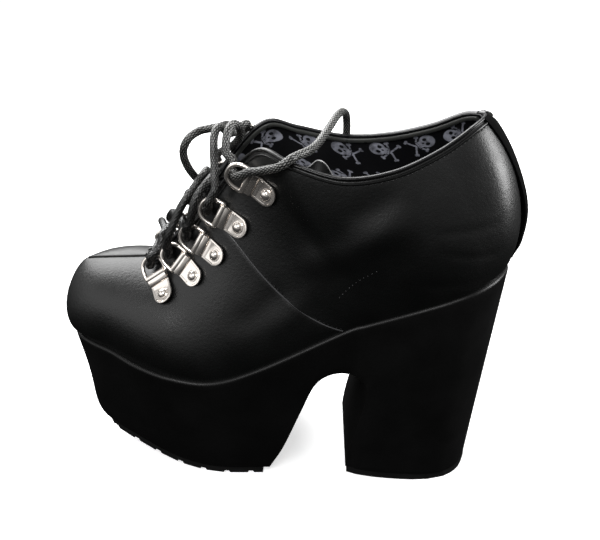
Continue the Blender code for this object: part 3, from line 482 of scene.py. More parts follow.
def wall_points(at, up):
    """Points of the upper's smooth outer face. at is the place round the last, up runs from 0 to 1."""
    at, up = np.broadcast_arrays(np.asarray(at, float), np.asarray(up, float))
    foot = through(FOOT_LOOP, at, True) + (0.0, 0.0, GAP)
    top = through(TOP_LOOP, at, True, THROAT_CORNERS)
    low = foot + through(LOW_LOOP, at, True)
    high = top + through(HIGH_LOOP, at, True)
    up = up[:, None]
    down = 1 - up
    return down**3 * foot + 3 * down**2 * up * low + 3 * down * up**2 * high + up**3 * top


def wall_path(at, count):
    """The wall at one place, from its top edge down: how far up each point lies, and the length to it."""
    ups = np.linspace(1, 0, count)
    return ups, run_along(wall_points(np.full(count, at), ups))


def below_top(at, distance):
    """How far up the wall a point lies that is this distance below its top edge."""
    ups, run = wall_path(at, 201)
    return float(np.interp(distance, run, ups))


def wall_normals(at, up):
    """Unit normals of the upper's outer face."""
    step = 0.01
    side = wall_points(at + step, up) - wall_points(at - step, up)
    rise = wall_points(at, np.clip(up + step, 0, 1)) - wall_points(at, np.clip(up - step, 0, 1))
    normals = np.cross(side, rise)
    away = wall_points(at, up) - INSIDE
    return np.sign((normals * away)[:, 1].sum()) * unit_rows(normals)


# --- where the rings sit ----------------------------------------------------------------------------------
def ring_frame(number, side):
    """Where ring 1 to 5 sits on one side: its bar's middle, the pull direction, the bar's and the normal."""
    station, setback = RINGS[number - 1]
    at = place_of(station, side)
    bar, ahead, behind, above = (
        wall_points([place], below_top(place, away))[0]
        for place, away in ((at, setback), (at + 0.02, setback), (at - 0.02, setback), (at, setback - 0.5))
    )
    heelward = -side * unit(ahead - behind)
    pull = above - bar
    pull = unit(pull - pull @ heelward * heelward)
    normal = unit(-side * np.cross(heelward, pull))
    turn = math.radians(RING_TURN)
    pull = math.cos(turn) * pull - math.sin(turn) * heelward
    along = np.cross(normal, pull)
    # the plate rests on the highest point of the leather under it
    places, ups = np.meshgrid(np.linspace(at - 1.2, at + 1.2, 61), np.linspace(0.4, 1.0, 61))
    places, ups = places.ravel(), ups.ravel()
    over = QUARTER_STEP * (station_of(places) >= QUARTER - 0.05)
    skin = wall_points(places, ups) + over[:, None] * wall_normals(places, ups) - bar
    under = (abs(skin @ along) < PLATE_WIDE / 2 + 0.8) & (skin @ pull < 3.0) & (skin @ pull > -PLATE_LONG - 1)
    seat = (skin[under] @ normal).max() + GAP
    return bar + seat * normal, pull, along, normal


def tilted(frame):
    """The ring's own directions: its bar's middle, the way its loop points, and the loop's normal."""
    origin, pull, along, normal = frame
    tilt = math.radians(RING_TILT)
    reach = math.cos(tilt) * pull + math.sin(tilt) * normal
    return origin + BAR_UP * normal, reach, along, np.cross(reach, along)


def ring_arc(frame, degrees):
    """A point on the ring's round part, from 0 at one end of the bar to 180 at the other."""
    bar, reach, along, _ = tilted(frame)
    turn = math.radians(degrees)
    wide = RING_BAR / 2 + RING_FLARE * math.sin(turn)
    across = wide * math.copysign(abs(math.cos(turn)) ** RING_SQUARE, math.cos(turn))
    return bar + across * along + RING_DEPTH * math.sin(turn) ** RING_SQUARE * reach


# --- the lace's way through the rings ---------------------------------------------------------------------
def turn_round(number, side, place, angles):
    """The lace's way round a ring's wire: -80 is on its way out under it, 80 is back above it."""
    frame = ring_frame(number, side)
    crown = ring_arc(frame, place)
    tangent = unit(ring_arc(frame, place + 1) - ring_arc(frame, place - 1))
    _, reach, _, up = tilted(frame)
    up = up * math.copysign(1, up @ frame[3])
    away = unit(np.cross(up, tangent))
    away = away * math.copysign(1, away @ reach)
    radius = RING_WIRE / 2 + LACE / 2 + LACE_GAP
    turns = [math.radians(angle) for angle in angles]
    return [crown + radius * (math.sin(turn) * up - math.cos(turn) * away) for turn in turns]


def over_edge(number, side, place):
    """A point just above the topline, where the lace goes over it to a ring."""
    frame = ring_frame(number, side)
    station = RINGS[number - 1][0]
    edge = wall_points(place_of(np.linspace(station - 1, station + 1, 41), side), 1.0)
    nearest = edge[np.argmin(np.linalg.norm(edge - ring_arc(frame, place), axis=1))]
    return nearest + (LACE / 2 + BINDING + EDGE_GAP) * unit(frame[3] + (0.0, 0.0, 1.5))


def under_ring(number, side, heelward):
    """The lace's way up to a ring and into it, this many degrees to the heel from the ring's middle."""
    place = 90 - side * heelward
    return [over_edge(number, side, place)] + turn_round(number, side, place, (-60, -30, 5))


def through_ring(number, side, angles=(40, 80, 120), leans=TO_HEEL):
    """The lace's way up through a ring and back over it, a little further to one side."""
    out = turn_round(number, side, 90 - side * leans[1], angles)
    return under_ring(number, side, leans[0]) + out


# --- pieces in the shoe's own frame -----------------------------------------------------------------------
def metres(points):
    return (np.asarray(points, float) + SHIFT) * MM


def deselect():
    bpy.ops.object.select_all(action="DESELECT")


def only(obj):
    """Makes obj the one selected and active object."""
    deselect()
    obj.select_set(True)
    bpy.context.view_layer.objects.active = obj
    return obj


def edit(obj=None):
    """Opens the object, or the one just made, for work on its mesh."""
    if obj is not None:
        only(obj)
    bpy.ops.object.mode_set(mode="EDIT")


def end_edit():
    bpy.ops.object.mode_set(mode="OBJECT")


def pick_none(what="EDGE"):
    bpy.ops.mesh.select_mode(type=what)
    bpy.ops.mesh.select_all(action="DESELECT")


def pick_all():
    bpy.ops.mesh.select_all(action="SELECT")


def face_out(obj, close=False):
    """Turns every face of a piece outward, once its open ends are closed if they are to be."""
    edit(obj)
    if close:
        pick_none()
        bpy.ops.mesh.select_non_manifold()
        bpy.ops.mesh.edge_face_add()
    pick_all()
    bpy.ops.mesh.normals_make_consistent(inside=False)
    end_edit()
    return obj


def face_up(obj):
    """Turns the faces of a level sheet up."""
    face_out(obj)
    if sum(face.normal.z for face in obj.data.polygons) < 0:
        obj.data.flip_normals()


def face_away(obj):
    """Turns the faces of an open shell away from its middle."""
    face_out(obj)
    middle = sum((vert.co for vert in obj.data.vertices), Vector()) / len(obj.data.vertices)
    facing = sum((face.center - middle).dot(face.normal) * face.area for face in obj.data.polygons)
    if facing < 0:
        obj.data.flip_normals()


def apply_modifier(obj, kind, **settings):
    only(obj)
    modifier = obj.modifiers.new(kind.lower(), kind)
    for name, value in settings.items():
        setattr(modifier, name, value)
    bpy.ops.object.modifier_apply(modifier=modifier.name)
    return obj


def thicken(obj, thick, offset=-1):
    return apply_modifier(obj, "SOLIDIFY", thickness=thick * MM, offset=offset)


def round_edges(obj, wide, segments=3, sharper_than=30):
    """Rounds the edges that bend by more than this many degrees."""
    limit = math.radians(sharper_than)
    return apply_modifier(
        obj, "BEVEL", width=wide * MM, segments=segments, limit_method="ANGLE", angle_limit=limit
    )


def settle(obj):
    """Puts the object at the origin, unturned and unscaled, with its place in its mesh."""
    obj.data.transform(obj.matrix_basis)
    obj.matrix_basis = Matrix.Identity(4)
    return obj


def dress(obj, material, slot, *nodes, angle=60):
    """Gives a finished piece its material and hides the solids that it stands for. The slot is not used."""
    obj.data.materials.clear()
    obj.data.materials.append(material)
    only(obj)
    bpy.ops.object.shade_smooth_by_angle(angle=math.radians(angle))
    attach(obj, "root")
    if nodes:
        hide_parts(*nodes)


def object_of(name, data):
    obj = bpy.data.objects.new(name, data)
    bpy.context.scene.collection.objects.link(obj)
    return obj


def mesh_piece(name, points, faces):
    """A piece from points in millimetres and faces."""
    mesh = bpy.data.meshes.new(name)
    mesh.from_pydata(metres(points), [], faces)
    return object_of(name, mesh)


def grid_piece(name, points, wrap=False, uv=None):
    """A sheet of quads over points[column, row] in millimetres. uv holds millimetres too."""
    columns, rows = points.shape[:2]
    index = np.arange(columns * rows).reshape(columns, rows)
    after = np.roll(index, -1, axis=0)
    if not wrap:
        index, after = index[:-1], after[:-1]
    corners = [index[:, :-1], after[:, :-1], after[:, 1:], index[:, 1:]]
    faces = np.stack([corner.ravel() for corner in corners], axis=1)
    piece = mesh_piece(name, points.reshape(-1, 3), faces.tolist())
    if uv is not None:
        flat = uv.reshape(-1, 2)[faces.ravel()].astype(np.float32)
        piece.data.uv_layers.new(name="millimetres").data.foreach_set("uv", flat.ravel())
    return piece


def weld(obj, within=0.02):
    work = bmesh.new()
    work.from_mesh(obj.data)
    bmesh.ops.remove_doubles(work, verts=work.verts, dist=within * MM)
    bmesh.ops.dissolve_degenerate(work, edges=work.edges, dist=0.001 * MM)
    work.to_mesh(obj.data)
    work.free()
    return obj


def grid_normals(points, wrap=False, facing=None):
    """Unit normals of a grid of points. They face along the axis of this number, or away from the middle."""
    if wrap:
        across = np.roll(points, -1, axis=0) - np.roll(points, 1, axis=0)
    else:
        across = np.gradient(points, axis=0)
    normals = np.cross(across, np.gradient(points, axis=1))
    normals /= np.linalg.norm(normals, axis=2)[:, :, None] + 1e-12
    away = points - points.reshape(-1, 3).mean(axis=0)
    turn = (away * normals).sum() if facing is None else normals[..., facing].mean()
    return normals * np.sign(turn)


def tube_piece(name, line, first, second, wide, tall, sides=16):
    """A closed tube along a line, its section an oval along the two directions given at each point."""
    turn = np.linspace(0, 2 * np.pi, sides, endpoint=False)
    wide = np.broadcast_to(wide, len(line))[:, None, None]
    tall = np.broadcast_to(tall, len(line))[:, None, None]
    points = line[:, None] + wide * np.cos(turn)[None, :, None] * first[:, None]
    points = points + tall * np.sin(turn)[None, :, None] * second[:, None]
    piece = grid_piece(name, np.concatenate([points, points[:, :1]], axis=1))
    return face_out(weld(piece, 0.001), close=True)


# --- materials --------------------------------------------------------------------------------------------
class Value:
    """One output in a shader. Sums with it are written as for numbers, and each makes a node."""

    def __init__(self, tree, socket):
        self.tree, self.socket = tree, socket

    def maths(self, operation, *others):
        return node(self.tree, "ShaderNodeMath", dict(enumerate((self, *others))), operation=operation)

    def __add__(self, other):
        return self.maths("ADD", other)

    def __sub__(self, other):
        return self.maths("SUBTRACT", other)

    def __rsub__(self, other):
        return node(self.tree, "ShaderNodeMath", {0: other, 1: self}, operation="SUBTRACT")

    def __mul__(self, other):
        return self.maths("MULTIPLY", other)

    def __truediv__(self, other):
        return self.maths("DIVIDE", other)

    def __abs__(self):
        return self.maths("ABSOLUTE")


def node(tree, kind, inputs=None, output=0, **settings):
    """An output of a new node with these settings and inputs. An input is plain or a Value."""
    made = tree.nodes.new(kind)
    for name, value in settings.items():
        setattr(made, name, value)
    for key, value in (inputs or {}).items():
        if isinstance(value, Value):
            tree.links.new(value.socket, made.inputs[key])
        else:
            made.inputs[key].default_value = value
    return Value(tree, made.outputs[output])


def new_material(name):
    """A new material, and its object coordinates."""
    material = bpy.data.materials.new(name)
    material.use_nodes = True
    return material, node(material.node_tree, "ShaderNodeTexCoord", output="Object")


def finished(material, colour, rough=None, normal=None, **values):
    """Joins colour, roughness and normal to the material's shader, and sets its plain values."""
    tree = material.node_tree
    shader = tree.nodes["Principled BSDF"]
    for name, value in (("Base Color", colour), ("Roughness", rough), ("Normal", normal)):
        if value is not None:
            tree.links.new(value.socket, shader.inputs[name])
    for name, value in values.items():
        shader.inputs[name.replace("_", " ")].default_value = value
    return material


def grey(value):
    return (value, value, value, 1)


def axis_of(vector, axis):
    return node(vector.tree, "ShaderNodeSeparateXYZ", {0: vector}, axis)


def spread(value, low, high, to_low, to_high, soft=False):
    """The value, moved from one range to another and held there."""
    inputs = {"Value": value, "From Min": low, "From Max": high, "To Min": to_low, "To Max": to_high}
    way = "SMOOTHSTEP" if soft else "LINEAR"
    return node(value.tree, "ShaderNodeMapRange", inputs, "Result", interpolation_type=way)


def blend_colour(share, first, second):
    """first where the share is 0, second where it is 1."""
    return node(share.tree, "ShaderNodeMix", {0: share, 6: first, 7: second}, 2, data_type="RGBA")


def noise(place, scale, detail):
    inputs = {"Vector": place, "Scale": scale, "Detail": detail, "Roughness": 0.5}
    return node(place.tree, "ShaderNodeTexNoise", inputs, "Fac")


def cells(place, scale):
    """The distance to the nearest of many scattered points."""
    return node(place.tree, "ShaderNodeTexVoronoi", {"Vector": place, "Scale": scale}, "Distance")


def bump(height, strength, distance, over=None):
    """The normal of a relief this many millimetres high, on top of another one if there is one."""
    inputs = {"Strength": strength, "Distance": distance * MM, "Height": height}
    if over is not None:
        inputs["Normal"] = over
    return node(height.tree, "ShaderNodeBump", inputs, "Normal")


def leather(name, dark, pale, gloss, grain, lint, specular=0.5):
    """Coated leather: fine pebbled grain, cloudy gloss, and a little lint."""
    material, place = new_material(name)
    cloud = noise(place, 38, 3)
    fine = noise(place, 900, 2)
    sparse = noise(place, 55, 1).maths("GREATER_THAN", 1 - lint)
    fleck = cells(place, 95).maths("LESS_THAN", 0.055) * sparse
    tone = blend_colour(fleck, blend_colour(cloud, dark, pale), LINT)
    rough = spread(cloud + fine * 0.35, 0.4, 0.95, *gloss)
    creased = bump(noise(place, 620, 3), grain, 0.3)
    normal = bump(cells(place, 1250) + fine * 0.6, grain, 0.08, creased)
    return finished(material, tone, rough, normal, Specular_IOR_Level=specular)


def nickel():
    """Polished plate with fine handling marks and a cloudy film, tinted warm as a painted reflection."""
    material, place = new_material("polished_nickel")
    film = noise(place, 260, 3)
    # painted reflection: the warm, pinkish tint stands in for skin-coloured surroundings mirrored in the
    # metal
    tone = blend_colour(film, (0.83, 0.76, 0.70, 1), (0.93, 0.89, 0.84, 1))
    stretched = node(place.tree, "ShaderNodeMapping", {"Vector": place, "Scale": (3000, 300, 900)})
    marks = bump(noise(stretched, 1, 2), 0.05, 0.02)
    return finished(material, tone, spread(film, 0.3, 0.7, 0.1, 0.2), marks, Metallic=0.9)


def waxed_braid():
    """Waxed cotton: dark valleys between the strands, and crowns painted lighter, with worn wax in patches
    and a painted sheen higher up.
    """
    material, place = new_material("waxed_braid")
    fibre = noise(place, 2600, 2)
    relief = node(place.tree, "ShaderNodeAttribute", output="Fac", attribute_name="relief")
    patches = spread(noise(place, 120, 3), 0.34, 0.56, 0.35, 1.0)
    # painted light: the lace is painted paler higher up, where the light from above falls, over random
    # patches of worn wax
    rubbed_and_top_lit = patches * spread(axis_of(place, "Z"), 0.16, 0.2, 0.08, 1.0)
    # the crowns of the strands are painted pale: partly worn wax, partly a painted sheen
    worn = spread(relief, 0.55, 0.95, 0.0, 1.0) * rubbed_and_top_lit
    tone = blend_colour(worn, (0.0025, 0.0027, 0.0027, 1), (0.46, 0.46, 0.44, 1))
    return finished(material, tone, spread(fibre, 0.3, 0.7, 0.2, 0.34), bump(fibre, 0.5, 0.08))


def rubber():
    """Dull moulded rubber with some dust on it."""
    material, place = new_material("tread_rubber_dull")
    dust = noise(place, 70, 5)
    tone = blend_colour(dust, grey(0.004), grey(0.011))
    pores = bump(noise(place, 1500, 2), 0.4, 0.08)
    return finished(material, tone, spread(dust, 0.3, 0.7, 0.6, 0.85), pores, Specular_IOR_Level=0.15)


def plain_gloss(name, colour, rough):
    """Lacquered edge paint or moulded plastic, with a slight waviness."""
    material, place = new_material(name)
    tone = blend_colour(noise(place, 90, 3), (*colour, 1), [0.6 * part for part in colour] + [1])
    gloss = spread(noise(place, 300, 2), 0.3, 0.7, rough, rough + 0.12)
    return finished(material, tone, gloss, bump(noise(place, 700, 2), 0.15, 0.05))


# --- the lining's print: a traditional skull over crossed bones, scattered at all angles ------------------
def round_spot(x, y, at_x, at_y, radius, tall=1.0):
    """Below 0 inside a round spot, in millimetres."""
    squares = [abs(away).maths("POWER", 2.0) for away in (x - at_x, (y - at_y) / tall)]
    return (squares[0] + squares[1]).maths("SQRT") - radius


def bar_spot(x, y, half_x, half_y):
    """Below 0 inside a bar."""
    return (abs(x) - half_x).maths("MAXIMUM", abs(y) - half_y)


def turned(x, y, angle):
    """x and y turned about the middle. The angle is a number or a Value, in radians."""
    if isinstance(angle, Value):
        cos, sin = angle.maths("COSINE"), angle.maths("SINE")
    else:
        cos, sin = math.cos(angle), math.sin(angle)
    return x * cos + y * sin, y * cos - x * sin


def nearest_of(found, *spots):
    for spot in spots:
        found = found.maths("MINIMUM", spot)
    return found


def printed_cloth():
    """Black lining with its print in worn grey ink. It follows the piece's own map, in millimetres."""
    material, place = new_material("printed_lining")
    tree = place.tree
    flat = node(tree, "ShaderNodeUVMap", output="UV", uv_map="millimetres")
    across, down = axis_of(flat, "X"), axis_of(flat, "Y")
    row = (down / PRINT_PITCH).maths("FLOOR")
    shifted = across + row * (PRINT_PITCH / 2)
    column = (shifted / PRINT_PITCH).maths("FLOOR")
    x = shifted - column * PRINT_PITCH - PRINT_PITCH / 2
    y = PRINT_PITCH / 2 - (down - row * PRINT_PITCH)
    cell = node(tree, "ShaderNodeCombineXYZ", {0: column, 1: row, 2: 3.0})
    chance = node(tree, "ShaderNodeTexWhiteNoise", {"Vector": cell}, "Value", noise_dimensions="3D")
    x, y = turned(x, y, (chance - 0.5) * PRINT_TURNS)
    x, y = x / PRINT_SCALE, y / -PRINT_SCALE - PRINT_DOWN
    solid = nearest_of(
        round_spot(x, y, 0.0, HEAD_UP, HEAD_HALF, 1.05), bar_spot(x, y + JAW_DOWN, *JAW_HALF)
    )
    eyes = [round_spot(x, y, out, HEAD_UP - 0.5, EYE_ROUND, 1.15) for out in (-EYE_OUT, EYE_OUT)]
    nose = round_spot(x, y, 0.0, HEAD_UP - 2.1, 0.42, 1.4)
    teeth = ((x + 0.45).maths("PINGPONG", 0.45) - 0.1).maths("MAXIMUM", y + (JAW_DOWN + 0.2))
    skull = solid.maths("MAXIMUM", nearest_of(*eyes, nose, teeth) * -1.0)
    bones = []
    for turn in (BONE_TURN, -BONE_TURN):
        along, beside = turned(x, y + BONES_DOWN, math.radians(turn))
        bones.append(bar_spot(along, beside, BONE_HALF, BONE_THICK))
        knobs = (abs(along) - BONE_HALF, abs(beside) - KNOB_ROUND * 0.7)
        bones.append(round_spot(*knobs, 0.0, 0.0, KNOB_ROUND))
    crossed = nearest_of(*bones).maths("MAXIMUM", (solid - 0.45) * -1.0)
    ragged = (noise(place, 1100, 2) - 0.5) * 0.5
    ink = spread(nearest_of(skull, crossed) + ragged, -0.1, 0.12, 1.0, 0.0)
    worn = spread(noise(place, 260, 4), 0.32, 0.62, 0.22, 1.0)
    tone = blend_colour(ink * worn, (0.002, 0.002, 0.003, 1), (0.42, 0.43, 0.5, 1))
    weave = bump(cells(place, 2200), 0.3, 0.05)
    return finished(material, tone, None, weave, Roughness=0.62, Specular_IOR_Level=0.3)


# --- camera, floor and light ------------------------------------------------------------------------------
def add_camera():
    camera = bpy.data.cameras.new("view")
    camera.lens = 45
    camera.sensor_width = 36
    obj = object_of("view", camera)
    obj.location = (0.0294, -0.3749, 0.304)
    obj.rotation_euler = (math.radians(63.07), 0, math.radians(3.0))
    bpy.context.scene.camera = obj


def add_light(name, place, aim, size, power):
    light = bpy.data.lights.new(name, "AREA")
    light.shape = "RECTANGLE"
    light.size, light.size_y = size
    light.energy = power
    obj = object_of(name, light)
    obj.location = place
    obj.rotation_euler = (Vector(aim) - Vector(place)).to_track_quat("-Z", "Y").to_euler()


def add_floor():
    deselect()
    bpy.ops.mesh.primitive_plane_add(size=80, location=(0, 0, 0))
    floor = bpy.context.object
    floor.name = "floor"
    material, place = new_material("pale_floor")
    glow = {"Emission_Color": (1, 1, 1, 1), "Emission_Strength": 0.62}
    tone = blend_colour(noise(place, 3, 2), grey(0.9), grey(0.93))
    floor.data.materials.append(finished(material, tone, Roughness=0.9, Specular_IOR_Level=0.1, **glow))
    floor.visible_glossy = False
    floor.visible_diffuse = False


def add_room():
    """A white backdrop that lights the shoe from above and is darker ahead and to the right."""
    world = bpy.data.worlds.new("room")
    world.use_nodes = True
    tree = world.node_tree
    place = node(tree, "ShaderNodeTexCoord", output="Generated")
    glow = spread(axis_of(place, "Z"), -0.3, 0.24, 0.01, 0.42, soft=True)
    facing = node(tree, "ShaderNodeVectorMath", {0: place, 1: DIM_SIDE}, 1, operation="DOT_PRODUCT")
    glow = glow * spread(facing, 0.8, 0.98, 1.0, 0.45, soft=True)
    glow = glow.maths("MAXIMUM", node(tree, "ShaderNodeLightPath", output="Is Camera Ray"))
    room = tree.nodes["Background"]
    room.inputs["Color"].default_value = (1, 1, 1, 1)
    tree.links.new(glow.socket, room.inputs["Strength"])
    bpy.context.scene.world = world
    bpy.context.scene.view_settings.view_transform = "Standard"


# --- lace -------------------------------------------------------------------------------------------------
def whole_lace():
    """The lace's middle line from its left end to its right one, and where along it each part starts."""
    lift = (35, 70)
    from_outer_1 = (
        through_ring(1, -1, lift) + OUTER_1_TO_INNER_2 + through_ring(2, 1, leans=TO_TOE) + INNER_2_TO_OUTER_3
        + through_ring(3, -1, lift, SLID_RING_3) + OUTER_3_TO_INNER_4 + through_ring(4, 1, lift)
    )
    from_inner_1 = (
        through_ring(1, 1) + through_ring(2, -1, lift) + OUTER_2_TO_INNER_3
        + through_ring(3, 1, leans=TO_TOE) + INNER_3_TO_OUTER_4 + through_ring(4, -1, lift, SLID_RING_4)
    )
    at_outer_5 = under_ring(5, -1, INTO_RING_5)
    at_inner_5 = through_ring(5, 1, (40, 75, 105), TO_TOE)
    parts = [
        (at_inner_5[1:] + END_LEFT)[::-1],
        (OUTER_4_TO_INNER_5 + at_inner_5[:1])[::-1],
        from_inner_1[::-1] + from_outer_1,
        INNER_4_TO_OUTER_5 + at_outer_5[:1],
        at_outer_5[1:] + END_RIGHT,
    ]
    points, cuts = [], [0]
    for number, part in enumerate(parts):
        if number:
            points.append((np.asarray(points[-1]) + np.asarray(part[0])) / 2)
            cuts.append(len(points) - 1)
        points += [np.asarray(point, float) for point in part]
    return np.array(points), cuts + [len(points) - 1]


def smooth_line(points, step):
    """A smooth line through points that are unevenly far apart, and its place at each point."""
    gaps = np.linalg.norm(np.diff(points, axis=0), axis=1)
    leave = np.diff(points, axis=0) / gaps[:, None]
    between = leave[:-1] * gaps[1:, None] + leave[1:] * gaps[:-1, None]
    slopes = np.concatenate([leave[:1], between, leave[-1:]])
    slopes[1:-1] /= (gaps[1:] + gaps[:-1])[:, None]
    line, marks = [], [0]
    for k, gap in enumerate(gaps):
        part = np.arange(0, 1, 1 / max(1, round(gap / step)))[:, None]
        line.append(hermite(part, points[k], gap * slopes[k], points[k + 1], gap * slopes[k + 1]))
        marks.append(marks[-1] + len(part))
    return np.concatenate([*line, points[-1:]]), marks


def carried_frames(line):
    """Directions across a line that turn with it and never twist."""
    ahead = unit_rows(np.gradient(line, axis=0))
    side = np.cross(ahead[0], (0.3, 0.2, 0.9))
    sides = []
    for forward in ahead:
        side = unit(side - (side @ forward) * forward)
        sides.append(side)
    sides = np.array(sides)
    return sides, np.cross(ahead, sides)


def braid_relief(angle, run):
    """0 in the valleys to 1 on the crowns of a braid, at an angle round it and a length along it."""
    one = CARRIERS * angle / (2 * np.pi) + run / (2 * BRAID_PITCH)
    other = CARRIERS * angle / (2 * np.pi) - run / (2 * BRAID_PITCH)
    first_on_top = (np.floor(one) + np.floor(other)) % 2 == 0
    across = np.where(first_on_top, one % 1, other % 1)
    along = np.where(first_on_top, other % 1, one % 1)
    return np.sin(np.pi * across) ** 0.7 * (0.45 + 0.55 * np.sin(np.pi * along) ** 0.8)


def braid_tube(name, line, sides, ups, run):
    """A closed braided tube along a line, with its relief kept as an attribute."""
    angle = np.linspace(0, 2 * np.pi, BRAID_SIDES, endpoint=False)
    relief = braid_relief(angle[None, :], run[:, None])
    radius = LACE / 2 + BRAID_OVER - BRAID_DEEP * (1 - relief)
    around = sides[:, None] * np.cos(angle)[None, :, None] + ups[:, None] * np.sin(angle)[None, :, None]
    points = line[:, None] + radius[:, :, None] * around
    index = np.arange(len(line) * BRAID_SIDES).reshape(len(line), BRAID_SIDES)
    after = np.roll(index, -1, axis=1)
    quads = np.stack([index[:-1].ravel(), after[:-1].ravel(), after[1:].ravel(), index[1:].ravel()], axis=1)
    faces = [*quads.tolist(), index[0][::-1].tolist(), index[-1].tolist()]
    piece = mesh_piece(name, points.reshape(-1, 3), faces)
    attribute = piece.data.attributes.new("relief", "FLOAT", "POINT")
    attribute.data.foreach_set("value", relief.astype(np.float32).ravel())
    piece.data.update()
    return piece


def add_aglet(name, end, inward):
    """A crimped sleeve over the last of the lace, from a cylinder."""
    deselect()
    radius = (LACE / 2 - AGLET_CRIMP + AGLET_THICK) * MM
    bpy.ops.mesh.primitive_cylinder_add(vertices=32, radius=radius, depth=AGLET_LONG * MM)
    aglet = bpy.context.object
    aglet.name = name
    edit()
    bpy.ops.mesh.subdivide(number_cuts=3)
    end_edit()
    round_edges(aglet, 0.4)
    middle = metres(end + 0.5 * (AGLET_LONG - 1.0) * inward)
    turn = Vector(inward).to_track_quat("Z", "Y").to_matrix().to_4x4()
    aglet.matrix_basis = Matrix.Translation(middle) @ turn
    return settle(aglet)


def add_lace(material, aglet_material):
    points, cuts = whole_lace()
    line, marks = smooth_line(points, BRAID_STEP)
    sides, ups = carried_frames(line)
    run = run_along(line)
    names = ("lace_end_left", "lace_loop_outer", "lace_crossings", "lace_loop_inner", "lace_end_right")
    for number, name in enumerate(names):
        part = slice(marks[cuts[number]], marks[cuts[number + 1]] + 1)
        piece = braid_tube(name + "_braid", line[part], sides[part], ups[part], run[part])
        dress(piece, material, "lace_cord", name, angle=70)
        if name == "lace_crossings":
            continue
        path = line[part][::-1] if number < 2 else line[part]
        if "loop" in name:
            continue
        aglet = add_aglet(name.replace("end", "aglet"), path[-1], unit(path[-12] - path[-1]))
        dress(aglet, aglet_material, "lace_cord", angle=40)


# --- upper ------------------------------------------------------------------------------------------------
def even_outline(path_of, spacing=None, count=None):
    """Places round the outer side, evenly spaced along a line on the wall."""
    fine = np.linspace(0, LAST_STATION, 3201)
    run = run_along(path_of(fine))
    count = count or round(run[-1] / spacing) + 1
    return np.interp(np.linspace(0, run[-1], count), run, fine)


def upper_places(spacing):
    """Places round the outer side for the wall, with close ones at the quarter's edge."""
    places = even_outline(lambda at: (through(FOOT_LOOP, at, True) + wall_points(at, 1.0)) / 2, spacing)
    places = places[abs(places - QUARTER) > 0.03]
    near_edge = [QUARTER - 0.028, QUARTER - 0.012, QUARTER, QUARTER + 0.012, QUARTER + 0.028, THROAT]
    return np.unique(np.concatenate([places[abs(places - THROAT) > 0.01], near_edge]))


def both_sides(places):
    return np.concatenate([places, LOOP_LENGTH - places[-2:0:-1]])


def depths_from_top(length):
    """Distances below the top edge: the close ones, then wider ones to the foot."""
    return np.concatenate([CLOSE_DEPTHS, np.linspace(CLOSE_DEPTHS[-1], length, 44)[1:]])


def quarter_step(station):
    """How far the quarter stands above the vamp, at a station."""
    return QUARTER_STEP * smooth((station - QUARTER + 0.014) / 0.026)


def seam_bend(at, depths):
    """How far, in stations, the quarter's front edge leans towards the toe near the topline."""
    lean = -0.16 * hill(station_of(at), QUARTER, 0.45) * (1 - smooth(depths / 34.0))
    return lean if at < LAST_STATION else -lean


def ease_throat(points, places, depths):
    """Smooths the crease that runs down the wall from the throat's end, leaving the edge itself sharp."""
    near = smooth(1.4 - abs(station_of(places) - THROAT) / 0.9)[:, None]
    share = (near * smooth((depths - 2.5) / 7.0)[None, :])[..., None]
    for _ in range(60):
        eased = (np.roll(points, 1, axis=0) + 2 * points + np.roll(points, -1, axis=0)) / 4
        points = points * (1 - share) + eased * share
    return points


def wall_grid(places):
    """The bare wall over a grid, its normals, and each point's distance below the top edge."""
    points, deep = [], []
    for at in places:
        ups, run = wall_path(at, 241)
        depths = depths_from_top(run[-1])
        points.append(wall_points(at + seam_bend(at, depths), np.interp(depths, run, ups)))
        deep.append(depths)
    points, deep = ease_throat(np.array(points), places, deep[0]), np.array(deep)
    normals = grid_normals(points, True)
    # along the toe seam both sides share one normal, so that the raised seam closes over the middle
    rows = slice(0, SEAM_ROWS)
    for k in np.flatnonzero(on_toe_seam(places)):
        other = (len(places) - k) % len(places)
        blend = np.clip(deep[k][rows] / 2.3, 0, 1)[:, None]
        middle = (normals[k, rows] + normals[other, rows]) / 2
        for one in {k, other}:
            normals[one, rows] = normals[one, rows] * blend + middle * (1 - blend)
    return points, unit_rows(normals), deep


def fold_depth(points, places):
    """How far the folds push the wall in at each point of the grid."""
    side = np.where(places <= LAST_STATION, -1, 1)[:, None]
    total = np.zeros(points.shape[:2])
    x, z = points[..., 0], points[..., 2]
    for which, x1, z1, x2, z2, half, depth in FOLDS:
        run = math.hypot(x2 - x1, z2 - z1)
        along = ((x - x1) * (x2 - x1) + (z - z1) * (z2 - z1)) / run
        off = ((z - z1) * (x2 - x1) - (x - x1) * (z2 - z1)) / run
        off = off + 0.04 * run * np.sin(along / run * math.pi)
        ends = smooth(along / run * 3) * smooth((1 - along / run) * 3)
        total += np.where(side == which, depth * ends * hill(off, 0, half), 0)
    return total


def add_upper(material):
    """The leather with its raised toe seam, stepped quarters, turned edge and folds, over the wall's grid."""
    places = both_sides(upper_places(1.35))
    points, normals, deep = wall_grid(places)
    station = station_of(places)[:, None]
    groove = 0.25 * hill(station, QUARTER - 0.03, 0.012)
    seam = RIDGE_HIGH * np.sqrt(np.clip(1 - (deep / RIDGE_HALF) ** 2, 0, 1)) - 0.14 * hill(deep, 1.05, 0.3)
    turned_edge = sum(high * hill(deep, down, half) for high, down, half in TURNED_RELIEF)
    edge = np.where(on_toe_seam(station), seam, turned_edge)
    step = quarter_step(station) - groove + edge - fold_depth(points, places)
    outer = points + step[..., None] * normals
    foot = outer[:, -1:] - (0.0, 0.0, FOOT_FLOOR)
    shell = grid_piece("upper_shell", np.concatenate([outer, foot], axis=1), wrap=True)
    face_away(weld(shell))
    dress(thicken(shell, LEATHER_THICK), material, "upper_leather", "upper", angle=35)
    return points, normals, deep


